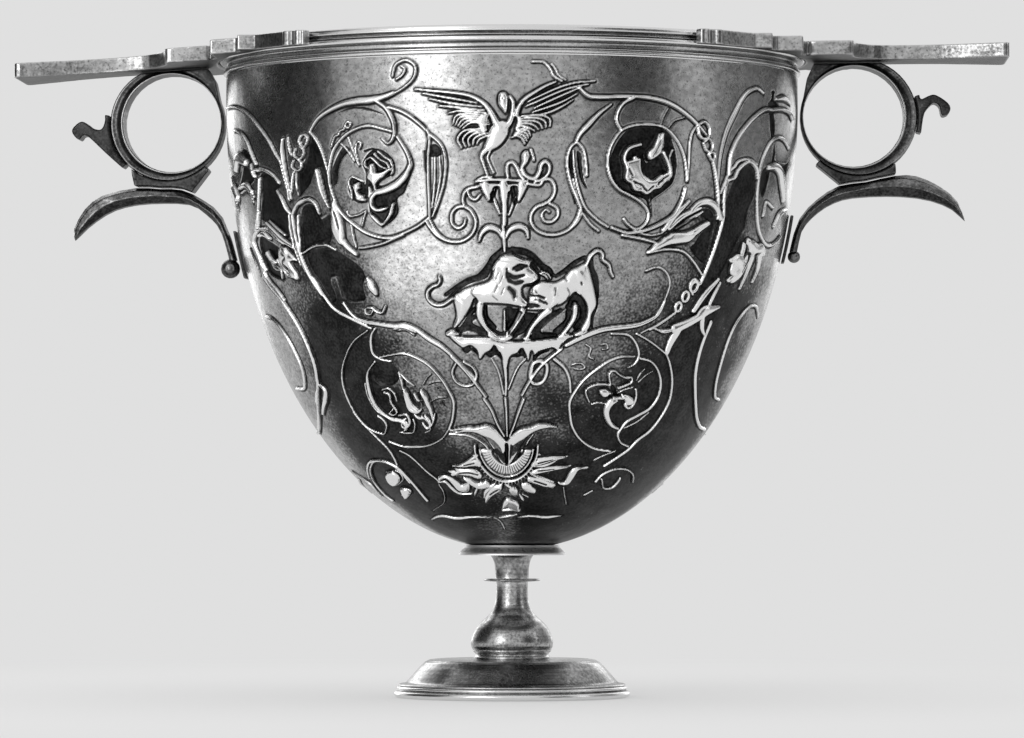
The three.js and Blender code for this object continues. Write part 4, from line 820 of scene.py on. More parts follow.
cut(0.12, 0.3, [5.2, 6.7, 6, 8.1, 7, 9.8])
sink(0.4, [-3.4, 5.1, -3, 7.3, -1.3, 10.1, 0.9, 11.8, 3.8, 12.3, 7, 12, 9.4, 10.7, 10.2, 9.4, 11.1, 7.2,
    11.5, 5, 10.8, 2.1, 8.8, 0.4, 6.1, -1.3, 6, -3, 4.7, -1.3, 1.5, -0.3, -0.8, 0.7, -2.5, 2.3])

# Beside it, knots of berries run down into a standing stem.
motif(41, 97)
chase(0.24, LEAF, [0.4, 9, 1.7, 9.4, 2.9, 8.3, 2.7, 6.8, 1.4, 6.3, 0.2, 7.1, 0, 8.3])
chase(0.2, LEAF, [1.6, 5.7, 2.8, 6.4, 3.9, 5.4, 3.5, 4.1, 2.3, 4.3, 1.5, 5.5], [3, 3.7, 4.4, 3.9, 4.7, 3.1,
    4, 2.5, 3, 3.5])
chase((0.2, 0.24, 0.2), 0.5, [4.2, 2.5, 5.2, 0.2, 6.3, -2.5, 7.2, -4.7])

# Long leaf loops hang from the stem on the right of the fountain.
motif(12, 93)
chase((0.2, 0.5, 0.3), LEAF, [9.6, 15.9, 7.1, 14.1, 4.9, 12, 3.4, 10.4, 2.7, 9])
chase((0.3, 0.24), WIRE, [4, -2.8, 2.2, 0.7, 1.3, 3.4, 1, 5.8, 1.6, 7.9, 2.9, 8.8, 4.2, 7.5, 4.7, 5.5,
    5, 3])
chase((0.14, 0.28, 0.2), WIRE, [2.2, 7.5, 2.3, 5, 2.9, 2.1, 3.8, -0.7, 5.1, -3, 7.6, -5, 9.9, -6.2])
chase(0.2, WIRE, [1.9, 3.8, 2.7, 0.7, 3.7, -2.4, 4.2, -3.6, 3.4, -5.4, 1.8, -6.7, 0, -7.4])
chase(0.2, 0.4, [4.4, -3.8, 6.3, -5.8, 8, -6.9])
cut(0.25, 0.35, [1.9, 6.7, 1.7, 4.8, 2.3, 2.6])
cut(0.22, 0.3, [3.5, 6.7, 3.8, 4.2])
sink(0.4, [1.8, 7.2, 1.3, 5.3, 1.5, 2, 2.7, -2.2, 3, -1.1, 2.1, 1.7, 2, 5], [2.8, 7.3, 3.8, 6.7, 4.1, 4.5,
    4.5, 2.3, 5.3, 0.6, 4.3, 1.2, 3.3, 3.3])

# Stems and leaves stand up at the right of the upper roundel.
motif(47, 90)
chase((0.26, 0.37, 0.3), LEAF, [-1.9, 9.7, -0.7, 6.9, 0.5, 3, 1.2, -1])
chase(0.33, LEAF, [13.1, 6.9, 12.1, 8.8, 9.2, 9.7, 6.2, 8.4, 4.8, 6.6, 2.7, 5.8, 2.2, 3, 2.7, -0.9,
    1.8, -5.3, 0.6, -9.2, -0.8, -12.8])
chase(0.28, WIRE, [1.2, 3.6, 3.2, 7.4, 4.8, 8.6, 6.2, 9.7, 9.7, 10.2, 12.4, 9.4])
chase(0.37, LEAF, [3, 7.2, 3.3, 10.8, 5.3, 14.1, 8.6, 16.9, 12.1, 18.8, 15, 19.7, 17.9, 19.8, 22.6, 20.2,
    27.3, 19.9, 29.9, 18.8])
chase((0.3, 0.6, 0.3), 0.35, [0.4, 4.7, 0.4, 9.7, 1.5, 14.1, 3.9, 18, 7.4, 21.9, 11.5, 23.4, 14.4, 22.7])
chase((0.4, 0.75, 0.6), LEAF, [-6.1, 0.4, -4.2, 1.6, -1.7, 1.9, 0.6, 0.9, 2, -0.9])
sink(0.25, [4.5, 5.1, 6.1, 7.4, 8.4, 9, 10.7, 8.8, 12.6, 7.2, 13.1, 3.6, 11.5, 0.7, 11.3, -2.4, 9.6, -4.2,
    7.9, -7, 6, -10.4, 4, -13.3, 0.2, -13.7, 1.2, -11.1, 2.3, -7.2, 2.9, -2.7, 3, 1.2, 3.8, 3.4])

# A small bird flies under the right roundel, over rings of vine.
motif(38, 81)
mass(0.85, 0.6, [-6.4, 1.6, -5.3, 3.1, -2.8, 4.2, -1.8, 5.1, 0.8, 5.4, 3.3, 5.3, 4.4, 4.7, 2.9, 3.5,
    0.1, 3.1, -2.2, 2.8, -4.3, 2.1])
mass(0.8, 0.4, [3.5, 5.8, 5, 6.7, 7.5, 7.6, 8.1, 7, 6.5, 6.1, 4.1, 5.2])
chase((0.3, 0.6, 0.9, 1.0, 0.85, 0.4), BODY, [-6.4, 1.6, -4.3, 2.8, -2.4, 3.8, 0.5, 4.2, 3.5, 5.1, 7.6, 7])
chase((0.5, 0.6, 0.3), LEAF, [-3.6, 5.6, -1.2, 8.4, 2, 10.9], [-2.4, 5.9, 0.5, 8.1, 5.2, 9.8])
chase((0.3, 0.37, 0.22), LEAF, [-0.6, 5.9, 3.5, 8.1, 5.8, 9.2])
chase(0.28, WIRE, [-6.6, 1.4, -2.4, 2.1, 2, 1.8, 5.2, 0.1, 8.3, -2.2], [8.2, -4, 6.5, -3.7, 5.7, -4.9,
    6.9, -5.9])
chase((0.18, 0.22, 0.15), 0.35, [-6.5, -1.9, -3.9, -1.2, -1.5, -2, 0, -4.1, -0.6, -7.1, -2.1, -9.6])
bead(0.4, 1.1, 6.7, -4.3)
bead(0.35, 0.9, 4.9, -6.3)
bead(0.35, 0.8, 3.5, -8.2)
pit(0.4, [-1.1, 6, 0.2, 6.9, 2.7, 8, 3.9, 8.5, 3.7, 7.7, 1.8, 6.8, 0, 5.6, -0.9, 5.2])
sink(0.35, [4.2, 9.1, 7, 9.8, 9, 9, 9.8, 7.3, 9.5, 4.8, 9.4, 1.7, 9, -0.2, 6.5, 0.5, 3.9, 2.4, 4.9, 3.3,
    5.6, 4.4, 7.3, 6.1, 8.5, 7, 6.5, 8])

# The right main stem rises from the middle and carries a running beast.
motif(33, 64)
chase((0.4, 0.55, 0.5, 0.5, 0.42, 0.3, 0.2), LEAF, [-18.2, 1.6, -15.4, 2.8, -12.6, 3.8, -9.7, 4.5, -6, 4.9,
    -2.8, 5.2, -0.3, 5.7, 2.7, 6.9, 3.9, 8.2, 4.5, 9.9], vein=0.15)
chase((0.2, 0.3, 0.28, 0.22, 0.12), WIRE, [-7.6, 3.7, -3.7, 3.6, -1.6, 2.6, 0.1, 0.9, 0.6, -0.5, 0, -1.7,
    -1.5, -2.4])
chase(0.15, 0.4, [-0.1, 3.9, 3.2, 5.3, 5.6, 6.5, 8.1, 7.7])
chase((0.15, 0.28, 0.5, 0.6, 0.5), BODY, [3.5, 4.8, 5.7, 4.2, 8.1, 4.8, 10.4, 5.7, 13.5, 6.8, 15.2, 7.6])
chase((0.5, 0.4, 0.25), LEAF, [10.6, 5.4, 9.7, 3.9, 8.7, 2.1, 8.7, 0.3])
chase(0.24, WIRE, [-1.3, 3.8, 2.4, 2.6, 6, 1.2, 8.7, 0, 11, -2, 13.4, -4.8, 15, -8, 14.7, -10.8,
    12.9, -13.6, 9.8, -15.4, 8, -17.1, 5.1, -18.6, 1.6, -20.2])
chase(0.14, 0.4, [3.4, -17.5, -0.2, -18.3, -3.2, -19.2])
chase(0.26, WIRE, [2, 4.6, 5, 6, 7.9, 7.7])
chase((0.22, 0.37), WIRE, [2.6, 4.9, 5.5, 4.4, 8, 4.7])
chase((1.0, 1.0, 0.9, 1.2, 0.7, 0.4), BODY, [8.8, 4.9, 11.4, 5.7, 14.4, 6.8, 16.7, 8.2, 19.6, 8.8,
    21.4, 9.1])
chase((1.0, 0.8, 0.6), LEAF, [9.7, 4.3, 8.8, 2.4, 8.4, 0.7])
chase((0.7, 0.5, 0.3), LEAF, [16.4, 7.2, 17.6, 5, 19.4, 3.8])
chase((0.5, 0.6, 0.3), LEAF, [13.2, 8.2, 15.5, 11.3, 19, 14.1])
chase((0.37, 0.37, 0.22), LEAF, [17.3, 8.8, 18.5, 11.6, 19.8, 13.5])

# The lower right roundel: scrolls round a lily.
motif(26, 53)
mass(0.9, 0.9, [1.1, 1.8, 1.8, 2.7, 4, 3.1, 5.1, 2.8, 3.7, 1.9, 3.5, 0.6, 4.9, -0.8, 7.9, -2.3, 5.5, -2.1,
    3, -0.8, 1.5, 0.6])
mass(0.9, 0.6, [-1.3, 4.6, 0.5, 4.9, 1.9, 4.4, 1.5, 3.6, -0.1, 3.4])
mass(0.8, 0.6, [5.5, 3.7, 7.3, 3.9, 9.4, 3.2, 9.8, 2.3, 8.2, 1.9, 6.8, 2.6])
chase(0.26, WIRE, [8.1, 10.4, 11.6, 9.8, 14.6, 8.1, 16.8, 5.7, 17.3, 3.2, 15.9, 1.3, 13, 0.1, 10.1, -1,
    8.9, -2.3, 8.6, -3.5, 10.8, -4.9, 14.4, -5.6])
chase(0.14, 0.4, [10.1, -2.3, 13.7, -1.1, 16.4, 0.6], [7, -14.6, 9.6, -13.8])
chase((0.22, 0.28, 0.3, 0.26), WIRE, [6.5, 10.7, 3.1, 10.6, 0, 9.8, -3.2, 8.1, -5.8, 6.3, -7.6, 4.2,
    -8.5, 2.3, -7.8, 0, -6.3, -2.3, -2.9, -4.5, 2.2, -6, 8.3, -6.5])
chase((0.35, 0.3, 0.24), WIRE, [-13.7, 10.1, -10.9, 8.4, -9.4, 6.4, -8.7, 4.1])
chase((0.3, 0.55, 0.65, 0.6, 0.4, 0.3), BODY, [7.7, -2.3, 4.6, -1.4, 2.4, 0.4, 2.1, 2, 3.2, 3.2, 6, 3.2])
chase(0.2, LEAF, [1.5, 5.7, 0.7, 7, 0.7, 7.9, 1.9, 8.1, 3.5, 7.4, 5.5, 6.9, 7, 7, 7.2, 6.1, 5.7, 5.5,
    3.9, 5], [1.5, 5.5, -0.5, 5.7, -2.9, 5.5, -4.7, 4.8, -4.6, 3.9, -3.3, 2.5])
chase(0.16, 0.5, [-2.3, 2, -0.7, 2.3, 1.1, 2.2])
chase((0.3, 0.45, 0.35), LEAF, [-0.7, 4.1, 0.7, 4.4, 2, 4.1])
chase(0.14, 0.5, [4.2, 3.9, 6, 4.7, 8.3, 5.1])
chase((0.2, 0.4, 0.3, 0.2), LEAF, [5.7, 3.8, 7.5, 3, 7.4, 2, 8.7, 1.5, 9.8, 2, 10.1, 3.3, 9.4, 4.8])
chase(0.11, 0.35, [8.9, 6.3, 9.3, 7.5, 10.4, 8.4], [9.6, 6, 11.3, 7.3, 12.9, 8], [9, 6.8, 9.6, 7.7])
chase(0.13, 0.35, [-9.2, 9, -8, 9.3, -6.7, 9.2, -5.9, 8.5, -7.2, 8.2, -8.5, 8.4])
chase(0.12, 0.35, [-6.4, 12.7, -5.1, 12, -5.3, 10.6, -4, 10.1], [-2.7, 12.7, -1.4, 12.8, -0.9, 12,
    -2.2, 11.9])
chase(0.2, WIRE, [8.4, -12.1, 9.7, -10.8, 13.6, -9.8, 18.8, -9.8, 24.2, -10.8, 27, -12.1], [10.5, -11.6,
    13.8, -13.2, 17.8, -13.2, 18.8, -12.2, 18.8, -11.4])
chase((0.2, 0.42, 0.45, 0.3, 0.15), LEAF, [-6, -12.4, -3.3, -12.2, -2.3, -11.1, -0.9, -9.6, 2.7, -9.5])
chase(0.4, WIRE, [27.2, 17.3, 26.5, 14.2, 26.6, 11.4, 27.5, 8.7, 29.5, 6.1, 33.6, 2.8, 38.9, 0, 45.4, -1.7,
    52.4, -2.2])
chase(0.38, WIRE, [-19.1, 8, -18.6, 9.3, -17, 9.7, -15.4, 9, -15.4, 7.1, -16.5, 5.8, -18.4, 5.7,
    -19.2, 6.8], closed=True)
cut(0.3, 0.4, [2.5, 5.1, 3.7, 4])
cut(0.16, 0.3, [1.6, 3.7, 2.9, 3.3])
cut(0.2, 0.4, [3, 4.9, 3.8, 3.7, 4.9, 4])

# The left main stem rises from the middle and ends in a leaf and an open ring.
motif(-32, 65)
chase((0.25, 0.3, 0.42, 0.5, 0.42, 0.5, 0.42, 0.3, 0.24), LEAF, [-5.3, 8.5, -3.2, 6.1, -0.4, 5.1, 2.6, 4.7,
    6.8, 4.2, 9.7, 4.3, 12.3, 3.5, 15.1, 1.8, 17.9, 0.4, 20.4, -1.4, 22.7, -3.2, 24.9, -5.1], vein=0.15)
chase((0.2, 0.34, 0.2), LEAF, [6.8, 3.6, 9.3, 4, 12.2, 3])
chase(0.16, 0.4, [7.2, 3.4, 9.8, 3.4, 11.5, 2.5])
chase(0.22, WIRE, [-7.1, 6.7, -3.8, 5.5, -0.6, 4.3, 0.9, 3.8], [24.9, -5.1, 25.8, -7])
chase(0.24, WIRE, [20.9, -2.6, 19.7, -4.2, 20.2, -5.8, 22.1, -6.7, 24.4, -6.5, 25.6, -5.1, 25, -3.5,
    22.8, -2.4])
chase((0.2, 0.28, 0.2), LEAF, [0.9, 7.6, 2.4, 7.5, 3.5, 6.8, 4.8, 6.7, 5.6, 7.7])
chase(0.16, WIRE, [0.3, 7.3, 0.3, 6.5, 1.4, 6.3, 2.2, 6.9])

# The lower left roundel: rings round a flower and curled leaves.
motif(-31, 50)
mass(0.9, 0.7, [4.5, 7.7, 4.9, 6.5, 5.2, 4.9, 6.4, 4, 7.9, 3.6, 7.9, 4.3, 6.7, 5.2, 6.2, 6.5, 5.9, 7.4,
    5.3, 8], [9.4, 7.8, 10.9, 7.1, 11.4, 5.7, 11.3, 4.2, 10.3, 4.7, 9.8, 6, 9.3, 7])
mass(0.8, 0.7, [-3.1, 2.9, 0, 2.7, 2.5, 2.3, 3.3, 1.5, 2.2, 0.4, 0.4, 0.2, 1.6, 1.1, 0.8, 1.8, -1.7, 2.1])
chase(0.17, WIRE, [-1.4, 18.4, -5.8, 16.7, -9.4, 14.3, -13, 11.1, -14.7, 7.9, -14.7, 4.3, -13.1, 1.6,
    -10.6, -0.8, -8.3, -3, -7.9, -4.7, -8.3, -6])
chase((0.24, 0.3, 0.2), WIRE, [0.8, 18.7, -0.4, 17.7, -1.2, 15.9, -1.2, 14.2, 0.6, 13.2, 3.1, 12.8])
chase((0.2, 0.28, 0.3, 0.28, 0.3), WIRE, [-0.2, 13.5, 3.6, 14, 7.1, 14.2, 10.2, 13.4, 13.1, 12, 15.5, 9.8,
    17, 7.6, 17.9, 5.3, 16.9, 2.5, 15.3, 0.6])
chase(0.2, WIRE, [15.3, 0.6, 12.3, -1.2, 7.4, -2.4, 2.7, -2.7, -1.9, -2.6, -6.4, -1.7])
chase((0.2, 0.22, 0.42, 0.4, 0.3, 0.2), LEAF, [-1.4, 12.8, -4.3, 11, -5.4, 8.9, -5.7, 5.9, -4.1, 3.6,
    -0.7, 2.3, 2.8, 2.4])
chase(0.14, WIRE, [-6.5, 8.9, -7, 6.6, -6.2, 4.3, -4.1, 3])
chase(0.18, WIRE, [-14.9, 3.9, -13.4, 1.9, -11.3, 0.5, -8.3, -0.2, -6.6, -0.2, -4.6, 1.2, -4.9, 2.3,
    -6.3, 3])
chase((0.2, 0.4, 0.6, 0.5, 0.2), BODY, [4.7, 7.3, 5, 5.8, 5.5, 4.4, 7.1, 3.8, 8.3, 4])
chase((0.2, 0.35, 0.2), LEAF, [7.5, 7, 8.1, 6, 9, 5.6])
chase((0.2, 0.42, 0.35, 0.15), LEAF, [9.8, 7.6, 10.8, 5.6, 11.2, 3.5, 11, 1.6])
chase((0.14, 0.2, 0.12), LEAF, [12, 3.2, 11.3, 2.1, 9.9, 0.9])
chase((0.12, 0.25, 0.15), LEAF, [4.6, 10.9, 5, 9.3, 4.7, 7.7])
chase((0.12, 0.2, 0.12), 0.5, [4.8, 10.7, 6.5, 9.3, 7.9, 8.3])
chase(0.16, LEAF, [-1.3, 7.3, 0.3, 6.9, 0, 5.6, 0.5, 4.7, 0.9, 3.8, -0.5, 3.2, -1.7, 3.5, -0.2, 4.2])
chase(0.14, 0.5, [-1.8, 7.7, 0.3, 7.9, 1.7, 7, 1.8, 5.6], [-1, 0, 1.5, -0.2, 3.8, 0, 5.1, 1.4, 5, 2.3])
chase((0.2, 0.32, 0.2), LEAF, [0.9, 3.1, 3.7, 3.2, 3.9, 1.9, 2.8, 1.1, 1, 1, 1.1, 1.7])
chase(0.16, 0.5, [7.9, 2.9, 9.3, 1.9, 9.6, 0.5, 7.5, -0.1])
chase(0.11, 0.35, [10.6, 8.6, 11.8, 9.7, 13, 10.4], [11.8, 8.6, 13.7, 9, 15.3, 9], [11.1, 5.3, 13.5, 6,
    16, 6.2])
chase(0.14, 0.35, [-4.2, -3.4, -0.9, -4.6, 2.4, -7.2, 5.5, -9])
chase((0.2, 0.4, 0.2), LEAF, [9, 3, 9.9, 2.1, 10, 1.1])
chase((0.15, 0.32, 0.15), LEAF, [6, 3.4, 7, 2.7, 8.4, 2.4])
chase((0.15, 0.3, 0.15), LEAF, [7.7, 1.7, 8.8, 0.8, 10.6, 1.4])
cut(0.16, 0.3, [14.2, 7.8, 14.3, 7.7], [14.7, 5.3, 15.2, 4.6])
cut(0.2, 0.35, [8.9, 6.3, 9, 4.6])
cut(0.16, 0.35, [7.2, 6.8, 7.9, 5.7, 8.1, 4.8])
cut(0.14, 0.3, [8.6, 7, 9.1, 5.9])
pit(0.35, [-1.4, 12.5, 1.3, 12.8, 3.8, 12, 4.6, 10.4, 3.4, 9, 0.7, 8.3, -2.1, 8.7, -3.5, 10.1, -2.9, 11.6])

# Under it a small ring grows out of the stem.
motif(-49, 37)
chase(0.24, WIRE, [9.4, 6.7, 5.7, 7.6, 0.8, 7.8, -3.7, 7, -7.8, 5.6, -11.5, 3.5, -12.7, 1.5, -11.7, 0.4],
    [5.7, 7.6, 9.1, 6.7, 10.8, 4.9, 11.8, 3, 12.5, 0.4])
chase(0.18, WIRE, [2.3, 5.8, 5.9, 5.9, 0.7, 5.1, 0.3, 4, 2.6, 3.4, 8.1, 4.4, 9, 5.6, 7.3, 6], [5.2, 2.7,
    7.2, 2.5, 7.1, 2, 3.6, 1.5, 0.3, 1.5])
chase(0.2, WIRE, [-25.5, 5.9, -21.2, 4.9, -16.4, 3.5, -18.5, 1.3], [-27.2, 4.4, -37.6, 3, -37.6, 1.8])
chase(0.34, WIRE, [16.9, 32.4, 12.8, 33.8, 8.7, 35.5, 6.4, 38, 4.6, 40.8, 2.4, 42.7, 1.3, 45.4, 0.8, 47.7])
chase((0.4, 0.9, 0.4), LEAF, [19.3, 40.8, 20.1, 39.4, 20.8, 38])
chase(0.3, WIRE, [-11.8, 4.7, -7.1, 6.6, -2.4, 7.7, 2.3, 7.9, 7, 7.3, 9.6, 5.8, 10.5, 3.8])

# Three stems rise out of a calyx of two long leaves, which are hollow within.
motif(-5, 44)
mass(0.85, 1, [-10.8, 6.5, -8.6, 6.1, -5.5, 6.9, -2.4, 6.9, 0.1, 7.2, 2.5, 6.6, 4.1, 5.4,
    5.6, 4.1, 5.7, 2, 5.5, 0.1, 3.6, 0.6, 2, 2.4, 0, 4.4, -2.6, 5.7, -6.1, 6, -9, 5.8], [5.6, 4.1, 7.4, 5.6,
    9.6, 6.6, 12.6, 7.1, 15, 7.6, 17.4, 7.5, 20.1, 6.8, 17.3, 6.7, 14.4, 6.2, 12, 5.2, 10.2, 3.6, 8.6, 1.8,
    6.7, 0.2, 5.6, 0.1])
chase((0.3, 0.22, 0.2), LEAF, [0.1, 12, 1.9, 9.9, 3.3, 7.3, 5.1, 5.2], [5.6, 12, 5.8, 9.3, 5.9, 5.2])
chase((0.34, 0.26, 0.2), LEAF, [10.3, 12, 8.9, 9.3, 7.9, 7.3, 6.6, 5.2])
chase((0.16, 0.26, 0.3, 0.26, 0.16), BODY, [-10.5, 6.3, -5.9, 6.8, -2.7, 6.8, 0.1, 7.1, 2.2, 6.6, 3.8, 5.5,
    5.5, 4.2])
chase((0.16, 0.26, 0.3, 0.24, 0.14), BODY, [5.9, 4.2, 7.6, 5.5, 9.7, 6.5, 12.6, 6.9, 15, 7.5, 17.4, 7.4,
    19.9, 6.9])
chase(0.22, 0.5, [-11.1, 5.6, -6.2, 5.4, -3.2, 4.7, -0.8, 3.6, 0.1, 2.7])
chase(0.14, 0.35, [13.4, 5.4, 12.3, 4.4, 11.4, 3.2])
chase((0.24, 0.3, 0.26), LEAF, [0.6, 12.3, -2.9, 16, -4.9, 17.9, -7, 19.6])
chase((0.26, 0.34, 0.3), LEAF, [9.8, 12.6, 12.1, 15.7, 13.9, 17.7, 16.2, 19.4, 18.8, 21])
chase((0.7, 0.5, 0.3, 0.22), LEAF, [5.4, 21.2, 5.5, 19.2, 5.8, 15.6, 5.7, 12.5])
chase(0.16, 0.4, [2.4, 19.3, 4.1, 16.6, 5.2, 12.7], [10.6, 19.1, 8.6, 17.4, 6.4, 13.6])
cut(0.2, 0.35, [5.6, 3.8, 5.7, 1.8, 5.5, 0.1])
pit(0.45, [5.9, 4.2, 6.5, 3.1, 6.1, 0.2, 5, 0.3, 3.1, 1.3, 1.6, 2.9, 3.1, 3.3, 4.6, 2.4])
pit(0.4, [6.8, 4.1, 8, 3.5, 7.7, 2.3, 6.5, 0.8, 6.3, 2, 6.5, 3.1])
pit(0.3, [7.9, 1.4, 9.8, 2.2, 11.2, 3.4, 13, 4.9, 12.1, 3.4, 10.7, 1.9, 9.2, 1.1])
pit(0.2, [-4.1, 5.5, -1.2, 5.6, 1.3, 5.2, 3.2, 4.2, 4.5, 2.9, 5.1, 1.3, 4.1, 1.7, 2.4, 2.8, 0.6, 4.1,
    -1.7, 5.1])
pit(0.16, [16.4, 6.6, 13.4, 6.1, 10.8, 5.2, 8.5, 4.4, 6.7, 3.3, 6.3, 1.3, 7.6, 1.7, 9.6, 2.8, 11, 4.2,
    13.2, 5.6])

# Under the calyx is a half rosette with a toothed band, a groove and a rim. Its teeth are struck one
# by one along two half rounds.
motif(0.55, 46.8)
TEETH = 26


def half_round(across, up, first=180, last=360, count=17):
    """Points round the lower half of the rosette, its half sizes in degrees and millimetres."""
    angles = np.radians(np.linspace(first, last, count))
    return np.column_stack([across * np.cos(angles), up * np.sin(angles)])


mass(0.6, 1, np.vstack([half_round(7.9, 4.6), half_round(4.6, 2.6, 360, 180, 9)]))
chase(0.18, LEAF, half_round(8.2, 4.8))
chase(0.28, LEAF, half_round(9.6, 5.7, 172, 368))
chase((0.2, 0.12), LEAF, *zip(half_round(9.9, 5.9, 188, 352, TEETH), half_round(10.8, 6.5, 188, 352, TEETH)))
cut(0.16, 0.4, half_round(8.8, 5.2))
cut(0.1, 0.14, *zip(half_round(5.2, 3, count=TEETH), half_round(7.5, 4.4, count=TEETH)))

# Broad and narrow acanthus leaves spread round the rosette. The longer ones have a cut midrib.
motif(-17, 36)
mass(0.8, 1, [-7.9, 5.9, -4.9, 6.2, -2.1, 5.7, -0.4, 4.9, 0.6, 4.5, 3.7, 5, 2.9, 3.4, 0.3, 3.1,
    -2.2, 3.5, -3.4, 4.6, -4.9, 5.6, -8.1, 5])
mass(0.85, 0.6, [-2.4, 6.6, 0.3, 7.2, 3.9, 7.5, 7.3, 7.2, 9, 6, 7.2, 5.6, 4.6, 6.1, 1.1, 6.3, -1.6, 6.1],
    [0.2, 7.9, 4.4, 8.8, 7.9, 9.3, 9.8, 8.8, 9.1, 7.8, 6.7, 7.9, 3.3, 7.7], [1.6, 5.9, 4.4, 5.7, 7, 4.9,
    10.1, 5.2, 11.4, 4.2, 8, 3.7, 5.7, 3.9, 3.1, 4.8], [25.1, 8.5, 28.2, 9.3, 32.5, 9.7, 37.2, 9.6,
    32.8, 8.9, 28.5, 8.1, 25.6, 7.8], [25.7, 7, 29.3, 7.7, 33.9, 7.9, 38.8, 7.8, 34.2, 7.2, 29.6, 6.7,
    26.2, 6.3], [24.9, 6, 28.4, 5.9, 32.5, 5.2, 35.9, 4.4, 32.1, 4.1, 28.1, 4.6, 24.7, 5.2], [10.8, 3.8,
    13.4, 4.5, 15.8, 4.3, 15.2, 3.4, 12.1, 2.6, 8.1, 1.1, 8.1, 2.2])
mass(0.85, 0.5, [17.8, 3.8, 20.1, 4.1, 21.8, 3.5, 21.1, 2.6, 18.9, 2.8], [22.6, 4.4, 25.2, 4.5, 28.6, 3.7,
    28.1, 3, 25.1, 3.2, 23.1, 3.8], [16.9, 2, 19.3, 1.9, 22, 1.2, 22.7, -0.3, 19.3, 0.1, 16.7, 0.5, 14.6, 0,
    15.4, 1.3])
mass(0.8, 0.5, [-30.9, 6.4, -27, 7, -24.9, 6.5, -25.1, 5.3, -30.4, 4.3, -32.4, 4.9, -32.1, 5.7],
    [-28.6, 3.9, -25.5, 3.7, -25.5, 2.7, -30.7, 1.9, -30.5, 2.7])
chase((0.3, 0.42, 0.3, 0.15), LEAF, [8.8, 9.9, 6.5, 9.3, 4.1, 8.6, 0.8, 8])
chase((0.2, 0.3, 0.15), LEAF, [8.1, 8.6, 4, 8.3, -0.8, 7.8])
chase((0.25, 0.42, 0.15), LEAF, [5.4, 7.2, 2.3, 7.2, -0.2, 7.3])
chase((0.3, 0.45, 0.2), LEAF, [2.9, 6.6, 0.1, 6.8, -2.8, 6.9])
chase((0.2, 0.3, 0.2), LEAF, [-8.5, 4.9, -5.5, 5, -3.8, 3.8, -1.6, 2.9, 3.1, 2.8])
chase((0.2, 0.55, 0.5, 0.2), LEAF, [7.8, 2, 9.3, 3.2, 11.3, 4.1, 13, 4.6])
chase((0.15, 0.35, 0.15), LEAF, [4.2, 2.4, 5.2, 3.3, 7.9, 5])
chase((0.3, 0.42, 0.2), LEAF, [12.8, 3.8, 14.6, 4.2, 15.3, 4.6])
chase((0.2, 0.32, 0.2), LEAF, [16.7, 4.6, 18.2, 4.2, 20.3, 3.5], [31.6, 4.5, 33.4, 4.3, 35, 4])
chase((0.3, 0.5, 0.3), LEAF, [23.1, 4.5, 25.1, 4.5, 26.9, 3.9])
chase((0.2, 0.35, 0.15), LEAF, [25.7, 6.4, 29.5, 5.8, 34.7, 4.9])
chase((0.15, 0.3, 0.15), LEAF, [22.3, 2.6, 23.5, 2, 24.3, 1.5])
chase((0.12, 0.2, 0.12), 0.5, [23.4, 2.6, 26, 2])
chase((0.25, 0.38, 0.15), LEAF, [27.8, 9.2, 32, 9.4, 37.1, 9.6])
chase((0.2, 0.45, 0.3, 0.12), LEAF, [25.6, 7.8, 29.2, 8, 31.6, 8.3, 34, 8.8])
chase((0.12, 0.26, 0.12), LEAF, [31.9, 7.6, 35.2, 7.8, 39.2, 7.8])
chase((0.2, 0.35, 0.5, 0.5, 0.3, 0.12), LEAF, [36.7, 4.7, 39, 4.7, 39.7, 5.8, 40.4, 7, 42.3, 7.5,
    45.2, 7.4])
chase((0.12, 0.25, 0.12), LEAF, [16.1, 0.6, 17.2, 1.2, 18.1, 1.7], [20.6, 1.3, 21.9, 0.9, 22.5, 0.4])
chase((0.3, 0.42, 0.3), LEAF, [15.1, -0.2, 19, 0, 22.6, -0.2])
chase((0.15, 0.28, 0.15), 0.5, [12.7, -1.8, 17.3, -1.4, 21.7, -1.2])
cut(0.14, 0.3, [0.6, 6.7, 4.3, 6.9, 7.6, 6.5], [3.5, 8.2, 7, 8.6], [27.7, 8.6, 32.1, 9.2], [28.1, 7.2,
    33.4, 7.5], [27.2, 5.4, 31.8, 4.7], [10.7, 2.9, 14, 3.8])

# Two chased bars close the work off below.
motif(-30, 32)
chase((0.15, 0.34, 0.4, 0.3, 0.1), 0.5, [-16.9, 1.8, -6.1, 2.6, 2.4, 2.2, 12.1, 2.4, 22.9, 2.2])
chase((0.1, 0.28, 0.34, 0.12), 0.5, [34.8, 2.2, 41.9, 2.6, 49.5, 2.4, 58.4, 2.6])
chase(0.12, 0.25, [22.9, 2.2, 25.9, 1.4, 27.6, 0], [3.8, 8.3, 3.9, 6.6, 0.6, 4.8, -9, 3.4], [52.3, 7.8,
    54.3, 6.2, 57.1, 4.6])

